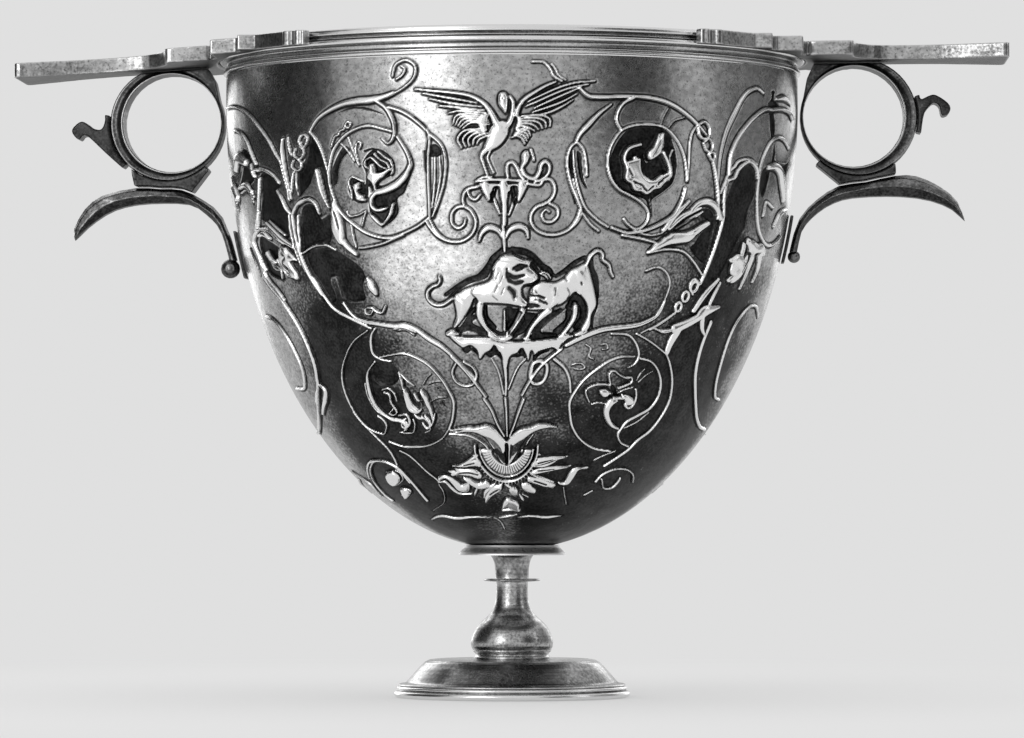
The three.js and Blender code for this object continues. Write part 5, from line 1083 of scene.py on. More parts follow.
# Leaves, berries and a standing stem at the left of the upper roundel, with sunken ground between.
motif(-54, 78)
chase((0.3, 0.36, 0.4, 0.34), LEAF, [6.2, 11.9, 6.2, 9.5, 6.6, 6, 7.6, 2.7, 9.2, -0.4, 11.1, -2.8])
chase((0.15, 0.25, 0.2), 0.5, [4.8, 12.1, 4.6, 9.1, 5.2, 5.5, 6.1, 2.7])
chase((0.2, 0.42, 0.36, 0.25, 0.2), LEAF, [5.2, 25.8, 5, 23.5, 5.4, 20.2, 6.1, 16.9, 6.3, 14.8])
chase((0.12, 0.24, 0.15), LEAF, [6.7, 26.1, 7.4, 23.8, 7.7, 22.7])
chase((0.15, 0.22, 0.2), 0.5, [3.7, 22.1, 4.6, 19.3, 5.4, 16.7, 5.6, 14.6])
chase(0.18, LEAF, [11.7, 26.3, 12.7, 25.7, 12.2, 24.3, 11.2, 24, 10.3, 25.1, 10.9, 26.1], [10.4, 24.2,
    11.6, 23.4, 11.1, 22.3, 9.8, 21.9, 8.6, 22.6, 9.2, 23.8])
chase(0.16, LEAF, [9.6, 21.9, 10.6, 21.1, 10.3, 20.1, 8.9, 19.8, 7.7, 20.6, 8.2, 21.6])
chase((0.2, 0.26, 0.2), 0.5, [7.9, 19.6, 7.2, 17.8, 6.7, 16])
chase((0.12, 0.18, 0.12), 0.4, [8.5, 19.6, 8.4, 17.7, 8.3, 16.4])
chase((0.15, 0.3, 0.36, 0.26), LEAF, [1.6, 16.5, 3.3, 14.9, 4.6, 13, 5.8, 12])
chase((0.3, 0.28, 0.24, 0.3, 0.2), LEAF, [6.5, 12, 7.8, 13.4, 9.4, 14.3, 11.7, 14.5, 13.5, 13.6,
    14.2, 11.9])
chase((0.2, 0.3, 0.25, 0.15), 0.5, [7.8, 11.7, 7.4, 9.4, 7.2, 7.1, 6.9, 5])
chase((0.15, 0.18, 0.2), 0.4, [-5.6, 20.3, -2.2, 20.5, 0.6, 19.6, 2.8, 18.1])
chase((0.2, 0.45, 0.5, 0.4), LEAF, [-4.6, 10.8, -1.2, 9, 1.5, 7.4, 4.9, 6])
chase((0.12, 0.2, 0.12), 0.4, [-3.3, 11.1, -0.2, 9.5, 2.2, 8.2])
chase((0.3, 0.75, 0.6, 0.3), BODY, [0.7, 6.2, 2, 5.2, 2.7, 4, 4.6, 3.9])
chase((0.25, 0.5, 0.3), BODY, [1.8, 2.4, 2.9, 1.2, 4, 0.3])
chase((0.15, 0.24, 0.2), LEAF, [-1.7, 4.1, -0.7, 2.5, 1.1, 1, 2.9, 0.5])
chase((0.4, 0.6, 0.3), BODY, [-8.1, 8.6, -5.5, 8.8, -3.5, 7.9])
chase((0.15, 0.25, 0.15), LEAF, [-6.2, 5.1, -4.9, 4.1, -3.2, 3.4])
chase((0.14, 0.2, 0.14), 0.4, [-4.3, 3, -2, 2, -2.4, 0.4])
chase((0.3, 0.34, 0.3, 0.24), LEAF, [-6.7, 12.8, -8.2, 10, -11.7, 7.6, -10.2, 4.2, -9, 0.8, -5.5, -1.6,
    -3.5, -3.5])
chase((0.12, 0.18, 0.12), 0.5, [-16.1, 6.6, -14, 3.6, -13.3, 1.5])
chase((0.2, 0.25, 0.3, 0.26, 0.2), LEAF, [-24.3, 33.3, -16, 33, -11, 32.1, -6.7, 30.6, -2.9, 28.3,
    0.3, 25.9, 2.8, 23, 4.1, 21.7])
chase((0.2, 0.3, 0.4, 0.3), LEAF, [-15.5, 28.5, -11.8, 27.7, -8.8, 25.9, -6.7, 23.4, -5.3, 21.7])
chase((0.2, 0.4, 0.3), LEAF, [-8, 21.8, -7.1, 20.3, -6.4, 19.4])
chase(0.16, 0.5, [-16.2, 17.7, -12.4, 18, -9.7, 17.2, -8.2, 15.7], [-15.7, 16.8, -12, 17.2, -9.5, 16.1,
    -8.9, 14.8])
chase(0.2, 0.5, [-22.4, 20.2, -21.1, 17.8, -20.8, 15.4, -20, 13.9])
sink(0.35, [-4.5, 19.6, -0.2, 19.9, 2.8, 17.6, 1.9, 16.2, 4, 13.9, 5.5, 11.7, 4, 8.2, 2, 7.7, -1.5, 9.2,
    -4.8, 10.7, -6.6, 11.9, -4.9, 15.7], [7.7, 4.5, 12.2, 5.5, 16.4, 5.3, 20.1, 3.6, 22.8, 1.9, 23.7, 0.3,
    22.7, -1.6, 22.6, -4.1, 17.2, -4, 16.3, -1.7, 15.8, 0.2, 14.1, -0.3, 14.6, -4, 9.9, -3.9, 8.9, -1.6,
    7.7, 0.4])
sink(0.4, [9.1, 12.9, 11.5, 13.7, 13.4, 12.8, 14.4, 10.8, 16.9, 11.5, 16.9, 8.3, 15.5, 6.2, 13.4, 6.5,
    9.6, 5.9, 7.4, 5.1, 6.7, 6.5, 7.6, 9.4], [12.2, 26.1, 13.8, 26.3, 16.1, 23.8, 17.3, 19.9, 17.4, 16.9,
    17.3, 13.7, 16.8, 12.6, 15.3, 15.9, 14.1, 19.5, 12.1, 17.1, 9, 15.1, 8.3, 16.2, 8.5, 19.5, 10.8, 21,
    12, 23.4], [-12.8, 24.7, -9.4, 24.2, -6.8, 21.8, -6.5, 19.6, -9.3, 18.1, -14, 17.8, -17, 16.2,
    -21.2, 14.8, -20.3, 17, -16.5, 18.5, -13.8, 20.5, -12.9, 22.2], [-8.3, 8.6, -5.5, 7.7, -2.5, 6.7,
    -0.4, 5.5, -2.1, 3.4, -3.9, 4, -6.1, 5.2, -6.1, 3.5, -4.8, 2.1, -1.7, 1.7, -1.3, 0.1, -5.8, 0.8,
    -8.7, 2.2, -9.7, 4.5, -10.1, 7])

# The far left of the front: scrolls with small creatures, which turn away towards the handle.
motif(-65, 53)
chase(0.28, WIRE, [-6, 53.6, -2.5, 53.2, 0.5, 51.8, 2.8, 49.7, 4.5, 47.8], [3, 45.6, 7.7, 45.6, 11.8, 44.3,
    13.9, 42.8])
chase(0.31, WIRE, [6.4, 43.9, 5.2, 40.6, 3.4, 37.2, 0.5, 33.9, -1, 32.2, 0.5, 29.4, 1.9, 27.2], [-7.2, 18.9,
    -3, 18.3, 0.5, 16.6, 3.4, 13.3, 4.2, 9.4, 2.2, 6.8, -1.3, 5.3, -7.2, 5.4])
chase((0.3, 0.37, 0.3), LEAF, [0.5, 33.9, 3.4, 34.7, 7.5, 34.4, 10.5, 32.8, 13, 31.7])
chase((0.37, 0.22), LEAF, [9.2, 28.9, 11.8, 26.1], [4.8, 30.3, 7.1, 28.4])
chase((0.5, 0.9, 0.8), BODY, [-11.3, 40, -9.5, 42.9, -7.2, 41.1])
chase((1.0, 1.1, 0.7), BODY, [-5.6, 46.6, -3.6, 48.3, 0.5, 47.2])
chase((0.4, 0.6, 0.4), LEAF, [-5.4, 42.8, -0.7, 43.1, 2.2, 41.7])
chase(0.33, LEAF, [0.5, 25.6, 3, 23.7, 6.5, 21.4, 9.5, 18.2, 11.2, 15.2, 11.8, 12, 11.4, 9.2, 10, 7, 9.2, 6,
    5.2, 3.3, 0.5, 0.6, -5.4, -1.4, -11.3, -2.5, -14.8, -2.8])
chase((0.3, 0.6, 0.3), LEAF, [9.5, 6, 11.2, 4.9, 9.5, 3.4, 6.5, 2.1, 3, 0.6])
chase(0.3, WIRE, [3, 2.8, 6.5, 4.8])

# The far right of the front: two scrolls and a striding beast.
motif(57, 76)
mass(0.9, 0.7, [2.5, 8.8, 4.5, 9.7, 7.9, 8.8, 10.9, 8, 9.8, 6.8, 7.2, 7.3, 5.5, 6.4, 3.7, 4.6, 2.2, 2.6,
    -0.5, 1.4, -0.6, 2.8, 0.7, 4.3, 2.3, 6, 3.6, 7.4])
mass(0.8, 0.5, [-2, 4.7, -1.3, 6, 0, 6, 0.5, 7.4, 0.9, 9.1, 1.8, 8.8, 1.8, 7.4, 1.4, 5.4, 0.6, 3.4,
    -1.5, 3])
chase(0.36, WIRE, [18.5, 27.3, 14.4, 28.7, 10.3, 28.7, 6.7, 27, 4.2, 23.7, 3.6, 19.8, 4.2, 15.9, 6.3, 12,
    9.7, 9.7, 13.8, 8.9, 17.9, 9.7, 20.8, 10.9])
chase((0.5, 0.9, 1.1, 0.6), BODY, [7.6, 23.1, 10.6, 23.4, 13.2, 22.6, 15.3, 20.3, 17.6, 17.6])
chase(0.31, WIRE, [7.6, 14.2, 8.2, 16.7, 12, 15.9], [12, -2.3, 16.1, -2.4, 20.2, -4.1])
chase((0.4, 0.6, 0.4), LEAF, [14.1, 12.6, 16.7, 14.8, 21.4, 15.9])
chase((0.8, 0.9, 0.8, 0.6), BODY, [2.9, 9.2, 6.2, 8, 9.1, 8.4, 10.7, 7.3])
chase((0.8, 0.5, 0.3), LEAF, [5.6, 6.4, 5, 3.7, 3.8, 0.6])
chase((0.7, 0.5, 0.3), LEAF, [9.4, 6.8, 9.8, 4.4, 8.9, 2])
chase((0.5, 1.1, 1.1, 0.5), BODY, [-2.1, 5.6, 0.3, 5.9, 1.5, 4.2, -1.5, 2])
chase(0.33, WIRE, [12, -2.3, 9.1, -3.6, 6.7, -5.9, 5.9, -9.1, 6.7, -13, 8.8, -16.6, 12.6, -19.1,
    17.3, -19.7])
chase((0.3, 0.6, 0.3), WIRE, [9.7, 35.9, 14, 36.4, 18.5, 35.6])
cut(0.16, 0.4, [3.9, 7.2, 3.2, 5.5, 2, 3.9])
cut(0.14, 0.35, [8.5, 7.4, 8.2, 5.4, 6.4, 3.4])
sink(0.4, [7.8, 37.3, 9.7, 37.4, 9.3, 35.8, 11.5, 34.9, 9.1, 33.8, 10, 31.8, 9.9, 29, 8.4, 28.3, 7.4, 30.3,
    6.7, 33, 6, 34.7, 7.8, 35.9], [9.8, 27.8, 11.1, 26.2, 11.2, 24.5, 17.8, 24.3, 20.6, 25.3, 19, 22.6,
    15.7, 21.9, 13, 23.4, 9.1, 23.2, 8.8, 21.5, 7.1, 17.5, 5, 19, 5, 21.9, 6.4, 23.1, 8.9, 23.5, 9.4, 25.6])

# A lion in the middle of the front, with its mane, tail and legs.
motif(-3, 72)
mass(BODY, 2, [-7.3, 2.1, -5.3, 3.5, -2.8, 4.2, -0.1, 4.9, 1, 6.1, 1.3, 7.8, 2.3, 9, 3.6, 9.8,
    5.3, 9.9, 7.4, 9.1, 9.3, 8.5, 9, 7.6, 10.2, 6.7, 11, 5.6, 10, 4.6, 8.4, 4.3, 7.4, 3.7, 7.7, 2.2, 8.8, 1,
    8.7, 0.3, 6.4, 0.5, 3.6, 0.9, 0.9, 1, -1.6, 1.1, -2.7, 1.9, -3.6, 0.4, -5.3, -1.8, -7.1, -3.4,
    -7.9, -3.1, -7, -1.2, -7.1, 0.6])
chase((0.75, 0.7, 0.5, 0.5), 0.85, [-1.6, 0.8, -1.7, -1.2, -0.4, -3.3, 1.4, -4.7])
chase((0.7, 0.5, 0.5), 0.95, [7.5, -0.3, 6, -2.6, 4.4, -4.4])
chase((0.5, 0.55, 0.3), BODY, [2.9, -5.2, 4.1, -5.1, 5.3, -4.9])
chase((0.45, 0.55, 0.3), BODY, [0.2, -4.4, 1.2, -4.8, 2.2, -5])
chase((0.5, 0.55, 0.35), BODY, [-9.1, -4.3, -8, -4, -6.9, -4.3])
chase((0.2, 0.3), LEAF, [3.7, -0.2, 3.7, -3.7])
chase((0.35, 0.34, 0.3, 0.25), LEAF, [-7.7, 1.9, -9.8, 0.9, -11.7, 1, -12.9, 2, -12.9, 3.2, -11.8, 4.1,
    -10.5, 4.5, -9.9, 5.3, -10.1, 5.9])
chase((0.9, 1.1, 0.8), 1.15, [2.1, 7.2, 2.6, 5.4, 3.6, 3.5])
chase((0.8, 1.0, 0.6), 1.12, [-6.3, 2.2, -5.2, 1.1, -5.7, -0.8])
chase((0.6, 0.8, 0.6), 1.12, [3.2, 9, 5.3, 9, 7.4, 8.4])
chase((0.4, 0.6, 0.3), 1.15, [8.7, 6.1, 9.8, 5.8, 10.5, 5.5])
cut((0.3, 0.5, 0.3), 0.5, [5.7, 7.4, 7, 7.8, 8.3, 7.8])
cut((0.3, 0.55, 0.3), 0.4, [4.5, 6.5, 5.8, 5.8, 7.7, 6.2])
cut(0.18, 0.35, [4.2, 7.4, 4.5, 5.4, 5.5, 4.8])
cut((0.4, 0.6, 0.3), 0.3, [4.7, 4, 5.7, 3.1, 5.8, 2.2])
cut(0.2, 0.4, [7.8, 4.3, 9.3, 4.5, 10.9, 5.4])
cut(0.12, 0.2, [1.8, 7.6, 1.3, 6.7], [2.6, 6.7, 1.9, 5.6], [3.4, 6.1, 2.7, 4.7], [2.3, 4.5, 1.7, 3.3],
    [3.6, 4, 3.1, 2.9])
cut(0.14, 0.2, [-2.4, 2, -3.2, 3.1, -2.9, 3.8])
cut(0.12, 0.18, [1.2, 2.6, 2.3, 1.7])

# The bull that the lion has caught.
motif(5, 71)
mass(BODY, 2, [12.7, 9.3, 11.1, 8.7, 9.5, 8, 8.3, 6.7, 6.4, 5.8, 4.8, 5.9, 3.2, 5.9, 1.6, 5.1,
    0.9, 3.6, 0.8, 2, 0.5, 1, 2.3, 0.8, 3.9, 0.9, 5.5, 0.8, 6.1, 1.5, 7.8, 1.8, 9.4, 2.8, 10.8, 4, 12.5, 3,
    13.7, 1.4, 13.8, -0.4, 12.9, -2.2, 12.2, -3.5, 14.1, -2.9, 15, -1.9, 15, 0.1, 15.9, 1.9, 15.3, 4.2,
    14.2, 6.9, 13.6, 8.3])
chase((0.75, 0.65, 0.5, 0.5), 0.95, [5.3, 0.8, 3.4, -0.5, 1.8, -2.1, 0.6, -4.2])
chase((0.6, 0.5, 0.45), 0.85, [11, 1.9, 11, -0.2, 9.9, -2, 8.6, -3.5])
chase((0.4, 0.55, 0.3), BODY, [7.9, -3.8, 9, -3.6, 10, -3.5], [11.7, -3.4, 13, -3, 14.1, -2.8])
chase((0.3, 0.45, 0.3), BODY, [-0.1, -4.1, 0.6, -4.1, 1.3, -4.3])
chase((0.35, 0.34, 0.3, 0.25), LEAF, [12.7, 9, 13.7, 10.8, 15, 11.6, 16.1, 11, 16.2, 10, 17.7, 9.1,
    18.2, 7.9, 18.9, 7])
chase((0.9, 1.2, 0.7), 1.12, [11.2, 7.6, 12.2, 5.8, 11.8, 4.2])
chase((0.6, 0.9, 0.6), 1.12, [5.9, 4.6, 6.6, 3, 5.8, 1.8])
chase((0.5, 0.5, 0.3), 1.15, [1.9, 4.3, 2.7, 3.2, 3.1, 1.8])
chase((0.12, 0.2, 0.12), BODY, [2.8, 7.5, 4.2, 7.1, 4.8, 6.4], [3.4, 7.7, 4.7, 7.4, 5.4, 6.5])
cut((0.3, 0.45, 0.3), 0.5, [0.6, 1.5, 1.7, 1.8, 2.9, 1.7])
cut(0.2, 0.4, [1.2, 3.5, 2.7, 3.6, 4.1, 3.2])
cut(0.16, 0.35, [3, 3, 4.3, 2.3])
cut(0.14, 0.2, [8.9, 5, 9.6, 3.7, 9.1, 3])
cut(0.12, 0.18, [6.5, 5, 6.3, 3.7])
cut(0.18, 0.3, [11.7, 6.1, 11.9, 5.7])
cut(0.16, 0.25, [8.3, 6.6, 8.8, 6.2])

# Deep lines and sunken ground set the pair off. The black film in them stands for the pair's cast
# shadow, which is painted shadow in real cuts in the metal.
motif(0, 67)
cut((0.3, 0.5, 0.6, 0.5, 0.3), 0.4, [1.7, 15.6, 4.1, 15.5, 6.2, 14.6, 8.1, 13, 9.7, 11.8, 11.1, 11])
cut((0.3, 0.5, 0.6, 0.4, 0.3), 0.4, [0.2, 15.6, -1.1, 14.5, -2.5, 12.7, -4.1, 10.9, -6.9, 10.1, -9.4, 9,
    -12, 7.6])
cut((0.3, 0.4, 0.3), 0.4, [11.6, 10.9, 13.2, 11.8, 15.3, 13.3, 17.3, 14.3], [18.9, 14.1, 19.2, 12.3,
    20.3, 10.5, 21, 7.3])
cut((0.3, 0.5, 0.4), 0.45, [-9.8, 1.3, -8.3, 2.4, -6.2, 3.5])
cut((0.5, 0.6, 0.5), 0.45, [-9.9, 1.2, -6.9, 1.7, -4.1, 0.7])
cut((0.3, 0.4, 0.4), 0.45, [-3.5, 5.4, -3.4, 3.5, -1.7, 1.7])
cut((0.5, 0.6, 0.4), 0.5, [1.7, 4.9, 2.3, 3.5, 1.4, 1.7])
cut((0.4, 0.5, 0.4), 0.5, [6.2, 3.8, 4.5, 1.7, 3.1, 0.3], [14.5, 5.4, 16.1, 7, 17.6, 5.9, 17.9, 3.6,
    16.7, 1.8])
cut((0.4, 0.6, 0.5), 0.5, [12.9, 4.7, 10.2, 3.3, 7.4, 0.8])
cut((0.5, 0.6, 0.5), 0.5, [7.2, 0.3, 9.8, 0.2, 12.1, 0.2])
cut(0.4, 0.45, [14.6, 4.5, 14.5, 2.9, 12.1, 1])
cut(0.16, 0.35, [4.9, 9.3, 6.3, 9.2, 7.8, 10.3])
cut(0.3, 0.2, [2.2, 8.9, 2.7, 8.5], [2.9, 7.9, 3.3, 7.4], [2.5, 7.3, 2.8, 6.8])
cut(0.16, 0.3, [6.1, 7.6, 7.2, 7.5], [7.8, 7.7, 9.1, 7.1])
cut(0.14, 0.3, [7.2, 6.9, 8.7, 6.6], [9.3, 6.6, 9.8, 6.1])
cut(0.18, 0.4, [18.5, 13.7, 19.2, 12.1, 19.8, 10.4, 20.7, 7.9, 21, 5.6, 20.5, 3.7, 20.5, 1.9])
pit(0.5, [-6.4, 5.2, -7.7, 4, -9.2, 2.7, -10.5, 1.6, -8, 1.1, -5.7, 0.8, -5.6, 1.9, -6.4, 2.5, -6.5, 3.6,
    -5.5, 4.8, -5.5, 5.4], [5.1, 4.3, 7.9, 4.1, 7.3, 3.1, 6.1, 1.8, 5, 0.6, 2.8, 0, 3.9, 1.5, 4.7, 2.7],
    [6.1, 0, 7.4, 1.5, 8.9, 2.5, 10.4, 3.4, 12.1, 4.3, 14.4, 5.4, 13.2, 4.3, 10.8, 3.1, 9.3, 1.8, 8.9, 1,
    9.9, 0.5, 12.2, 0.6, 11.8, -0.1, 9.1, -0.2], [14.3, 6.1, 15.1, 7.2, 16.1, 7.8, 17.7, 7.1, 18.5, 5.8,
    18.7, 4, 18.1, 2.5, 17.3, 1.4, 15.9, 0.5, 16.6, 1.7, 17.2, 2.9, 17.4, 4.3, 16.9, 5.5, 16.1, 5.8,
    15.5, 5.6, 15, 5])
pit(0.45, [-4, 5.4, -3.3, 5.3, -3.1, 3.2, -2.4, 2.1, -1, 1.1, 0.4, 0.8, 0.3, 0.5, -1.5, 0.7, -3.1, 1.7,
    -3.9, 3.2], [1.4, 5, 4.7, 4.8, 4.3, 3.4, 3.2, 2.2, 2, 0.6, 1.2, 0.7, 1.3, 2.9], [14.3, 5.7, 15.1, 5,
    15.1, 2.9, 14.1, 1.4, 12.6, 0.4, 13.8, 1.8, 14.5, 3.3, 14.2, 4.7])
pit(0.4, [-11.6, 7.2, -9.5, 8.8, -7.3, 9.9, -5.1, 11.2, -3.2, 12.9, -2.1, 14.5, 0, 15.7, 0.5, 15.2,
    -1.1, 14.4, -1.8, 13.1, -2.3, 11.4, -3.1, 10.4, -4.8, 10, -7.3, 9.2, -9.1, 8.3, -10.6, 7.2], [2, 16.2,
    3.7, 16, 5.4, 15.5, 7.1, 14.5, 8.5, 13.4, 10.3, 12.5, 11.1, 11.5, 10.3, 11, 9, 12, 7.7, 13.1, 7, 13.3,
    6, 14.1, 4.7, 14.5, 3.1, 14.8, 2.2, 15.1], [5.3, 5.7, 6.6, 6.1, 7.5, 5.8, 7.2, 5.2, 6, 5])
pit(0.3, [2.6, 12.4, 3.5, 12.9, 4.8, 13, 5.2, 12.6, 4.6, 12, 3.1, 11.7], [0.9, 12.1, 1.6, 11.3, 2.7, 10.4,
    4.2, 10.6, 5, 10.2, 4.8, 9.6, 3.1, 9.3, 1.6, 10.1, 0.8, 11])
pit(0.35, [6.2, 13.4, 7, 13.2, 8.1, 11.9, 7.9, 11, 7, 11.7, 6.4, 12.4])

# They stand on a strip of rocky ground with dark clefts under it.
motif(-3, 61)
mass(LEAF, 1, [-9.3, 6.7, -8, 6.9, -6.1, 5.9, -3.2, 5.9, 0, 5.8, 2.4, 5.3, 4.7, 5.2, 8.8, 5.2,
    13.4, 5.6, 16.3, 6.1, 18.9, 6.4, 16.8, 4.8, 16.1, 3.6, 14.7, 4.1, 13, 3.8, 11.8, 3.3, 10.7, 2.5,
    9.8, 3.6, 9.2, 1.7, 8.3, 3.1, 7.3, 3.9, 7.1, 2.7, 5.7, 2.9, 4.7, 2.2, 4.1, 0.5, 3.3, 1.8, 2.3, 3.1,
    1.2, 4.5, 0.6, 3.3, -0.9, 3.1, -2.3, 2, -3, 3.6, -4.2, 4.5, -5.7, 4, -6.7, 4.4, -8.4, 5.6])
chase(0.2, LEAF, [-9.1, 6.6, -6.1, 6, 0, 5.8, 4.7, 5.2, 8.8, 5.2, 13.4, 5.6, 19, 6.3])
pit(0.4, [-6.6, 3.9, -4.7, 4.6, -4.2, 4, -2.8, 4.1, -2.5, 2.6, -4.2, 3.4, -5.5, 2.9], [-1, 3.1, 1, 4.3,
    1.7, 3.6, 2.8, 3.4, 3.1, 1.7, 1.6, 2.6, 0.1, 2.2], [4.8, 2.4, 5.8, 3.1, 7, 3.9, 7.9, 4.3, 8.4, 3.2,
    9.1, 1.4, 7.9, 2.4, 6.4, 2.2], [10.2, 2.7, 11.4, 3.7, 13.6, 4, 14.2, 3.4, 12.3, 2.8, 10.5, 1.7])

# The relief fades out under the handles, and a chased line sets each form off from the ground, most
# strongly under it and to its right, the side away from the light. Film stays in the lines, the pits
# and the hollows and wears off the forms. In the lines it is made thicker on that shadow side, which
# is painted shade.
SIDE_PLAIN, SIDE_FULL = 89.0, 83.0
OUTLINE_DEPTH, OUTLINE_WIDTH = 0.24, 0.24
# The shadow side of each form faces down and to the right, away from the light.
SHADOW_SIDE_DOWN, SHADOW_SIDE_RIGHT = 0.85, 0.5
ON_FORM = 2
GROOVE_LEAST, GROOVE_UNDER = 0.4, 0.6
FILM_LEAST, PAINTED_SHADE_UNDER, FILM_WIDTH = 0.4, 0.8, 1.5
FULL_MARK = 0.3
PLAIN_HOLLOW = 0.5
CLOSE_PASSES, CLOSE_SHARE = 10, 1.6
BROAD_PASSES, BROAD_SHARE = 90, 1 / 3
LINE_SHARE, PROUD_SHARE, DEEP_SHARE = 0.34, 0.33, 0.8


def ramp(values, low, high):
    """Nought at one value and one at another, straight between."""
    return np.clip((values - low) / (high - low), 0, 1)


def softened(grid, passes):
    """A grid blurred a little more with each pass."""
    for _ in range(passes):
        wide = np.pad(grid, 1, mode="edge")
        grid = (4 * grid + wide[:-2, 1:-1] + wide[2:, 1:-1] + wide[1:-1, :-2] + wide[1:-1, 2:]) / 8
    return grid


fade = ramp(np.abs(turns), SIDE_PLAIN, SIDE_FULL)
outside = np.maximum(nearest, 0) + ON_FORM * np.maximum(-nearest, 0)
carved = np.maximum(carved, sunken * np.clip(nearest / PIT_SLOPE, 0, 1))
down, across = np.gradient(nearest)
shadow_side = (SHADOW_SIDE_RIGHT * across - SHADOW_SIDE_DOWN * down) / np.maximum(np.hypot(down, across), 1e-6)
shadow_side = np.clip(shadow_side, 0, 1)
groove = OUTLINE_DEPTH * swell(outside, 0, OUTLINE_WIDTH) * (GROOVE_LEAST + GROOVE_UNDER * shadow_side)
relief = (raised - groove - carved) * fade
relief = (relief + softened(relief, 1)) / 2
# Painted shade: the film along each outline is thicker on the form's shadow side.
line_film_and_shade = swell(outside, 0, FILM_WIDTH * OUTLINE_WIDTH) * (FILM_LEAST + PAINTED_SHADE_UNDER * shadow_side) * fade
deep = softened(ramp(carved, 0, FULL_MARK) * fade, 1)
proud = softened(ramp(raised, 0, FULL_MARK) * fade, 1)
hollows_and_shade = PLAIN_HOLLOW + LINE_SHARE * line_film_and_shade - PROUD_SHARE * proud + DEEP_SHARE * deep
hollows_and_shade = hollows_and_shade + CLOSE_SHARE * (softened(relief, CLOSE_PASSES) - relief)
hollows_and_shade = hollows_and_shade + BROAD_SHARE * (softened(relief, BROAD_PASSES) - relief)
hollows_and_shade = np.clip(hollows_and_shade, 0, 1)

# The film is thicker towards the bottom of the bowl. A band on each side of the front gets more film,
# which is a painted dark reflection. The middle of the front and the parts beside the handles get
# less, which is a painted highlight.
DARK_FROM, DARK_TO = 88.0, 44.0
DARK_CURVE = 1.2
HIGHLIGHT_TURN, HIGHLIGHT_SPREAD, HIGHLIGHT_SHARE = -5.0, 15.0, 0.5
DARK_REFLECTION_BANDS = ((-42.0, 13.0, 0.6), (53.0, 19.0, 0.65))
DARK_REFLECTION_FROM, DARK_REFLECTION_TO = 104.0, 90.0
EDGE_HIGHLIGHT_TURNS = ((-70.0, -52.0), (90.0, 66.0))
EDGE_HIGHLIGHT_LEAST = 0.15

film_and_painted_light = ramp(row_height, DARK_FROM, DARK_TO)[:, None] ** DARK_CURVE
# Painted highlight: less film along the middle of the front.
film_and_painted_light = film_and_painted_light * (1 - HIGHLIGHT_SHARE * swell(turns, HIGHLIGHT_TURN, HIGHLIGHT_SPREAD))
# Painted dark reflection: more film in a band on each side of the front, below its upper part.
for dark_reflection_turn, spread, share in DARK_REFLECTION_BANDS:
    dark_reflection = share * swell(turns, dark_reflection_turn, spread)
    film_and_painted_light = film_and_painted_light + dark_reflection * ramp(row_height, DARK_REFLECTION_FROM, DARK_REFLECTION_TO)[:, None]
# Painted highlight: less film towards each handle.
for brightest_at, dark_at in EDGE_HIGHLIGHT_TURNS:
    film_and_painted_light = film_and_painted_light * (EDGE_HIGHLIGHT_LEAST + (1 - EDGE_HIGHLIGHT_LEAST) * ramp(turns, brightest_at, dark_at))
film_and_painted_light = np.clip(film_and_painted_light, 0, 1)
relief, hollows_and_shade, film_and_painted_light = (np.hstack([grid[:, :-1], grid[:, :-1]]) for grid in (relief, hollows_and_shade, film_and_painted_light))

# The casing's sheet is laid out as twelve panels, side by side and each closed, with the relief on its
# face and a plain back. The back has one point for ten of the face's each way, as it is smooth and
# hidden.
PANELS = 12
COARSE = 10
SHEET = 0.6
FACE_SHARE = 0.9
BACK_SPOT = 0.97
slope_out = np.gradient(row_height, row_run)[:, None]
slope_up = -np.gradient(row_radius, row_run)[:, None]
around = np.radians(np.arange(2 * HALF_TURN_COLUMNS) * 180 / HALF_TURN_COLUMNS - 90)[None, :]


def wall_points(offset):
    """The casing's grid of points, at an offset from its plain outer face."""
    radius = row_radius[:, None] + slope_out * offset
    height = row_height[:, None] + slope_up * offset + 0 * around
    return np.stack([radius * np.sin(around), -radius * np.cos(around), height], axis=2)


outer_face = wall_points(relief)
inner_face = wall_points(-SHEET)
sideways = np.roll(outer_face, -1, axis=1) - np.roll(outer_face, 1, axis=1)
outer_normals = np.cross(sideways, np.gradient(outer_face, axis=0))
outer_normals /= np.linalg.norm(outer_normals, axis=2, keepdims=True)
panel_columns = 2 * HALF_TURN_COLUMNS // PANELS


def grid_faces(index):
    """The four-cornered faces of a grid of points, from the points' numbers."""
    corners = [index[:-1, :-1], index[:-1, 1:], index[1:, 1:], index[1:, :-1]]
    return np.stack(corners, axis=2).reshape(-1, 4)


def zipped(fine, coarse):
    """Triangles between a fine edge and one with a tenth of its points."""
    nearest_coarse = coarse[(np.arange(len(fine)) + COARSE // 2) // COARSE]
    faces = np.column_stack([fine[:-1], fine[1:], nearest_coarse[:-1]])
    change = np.flatnonzero(nearest_coarse[:-1] != nearest_coarse[1:])
    turns_over = np.column_stack([fine[change + 1], nearest_coarse[change + 1], nearest_coarse[change]])
    return np.vstack([faces, turns_over])


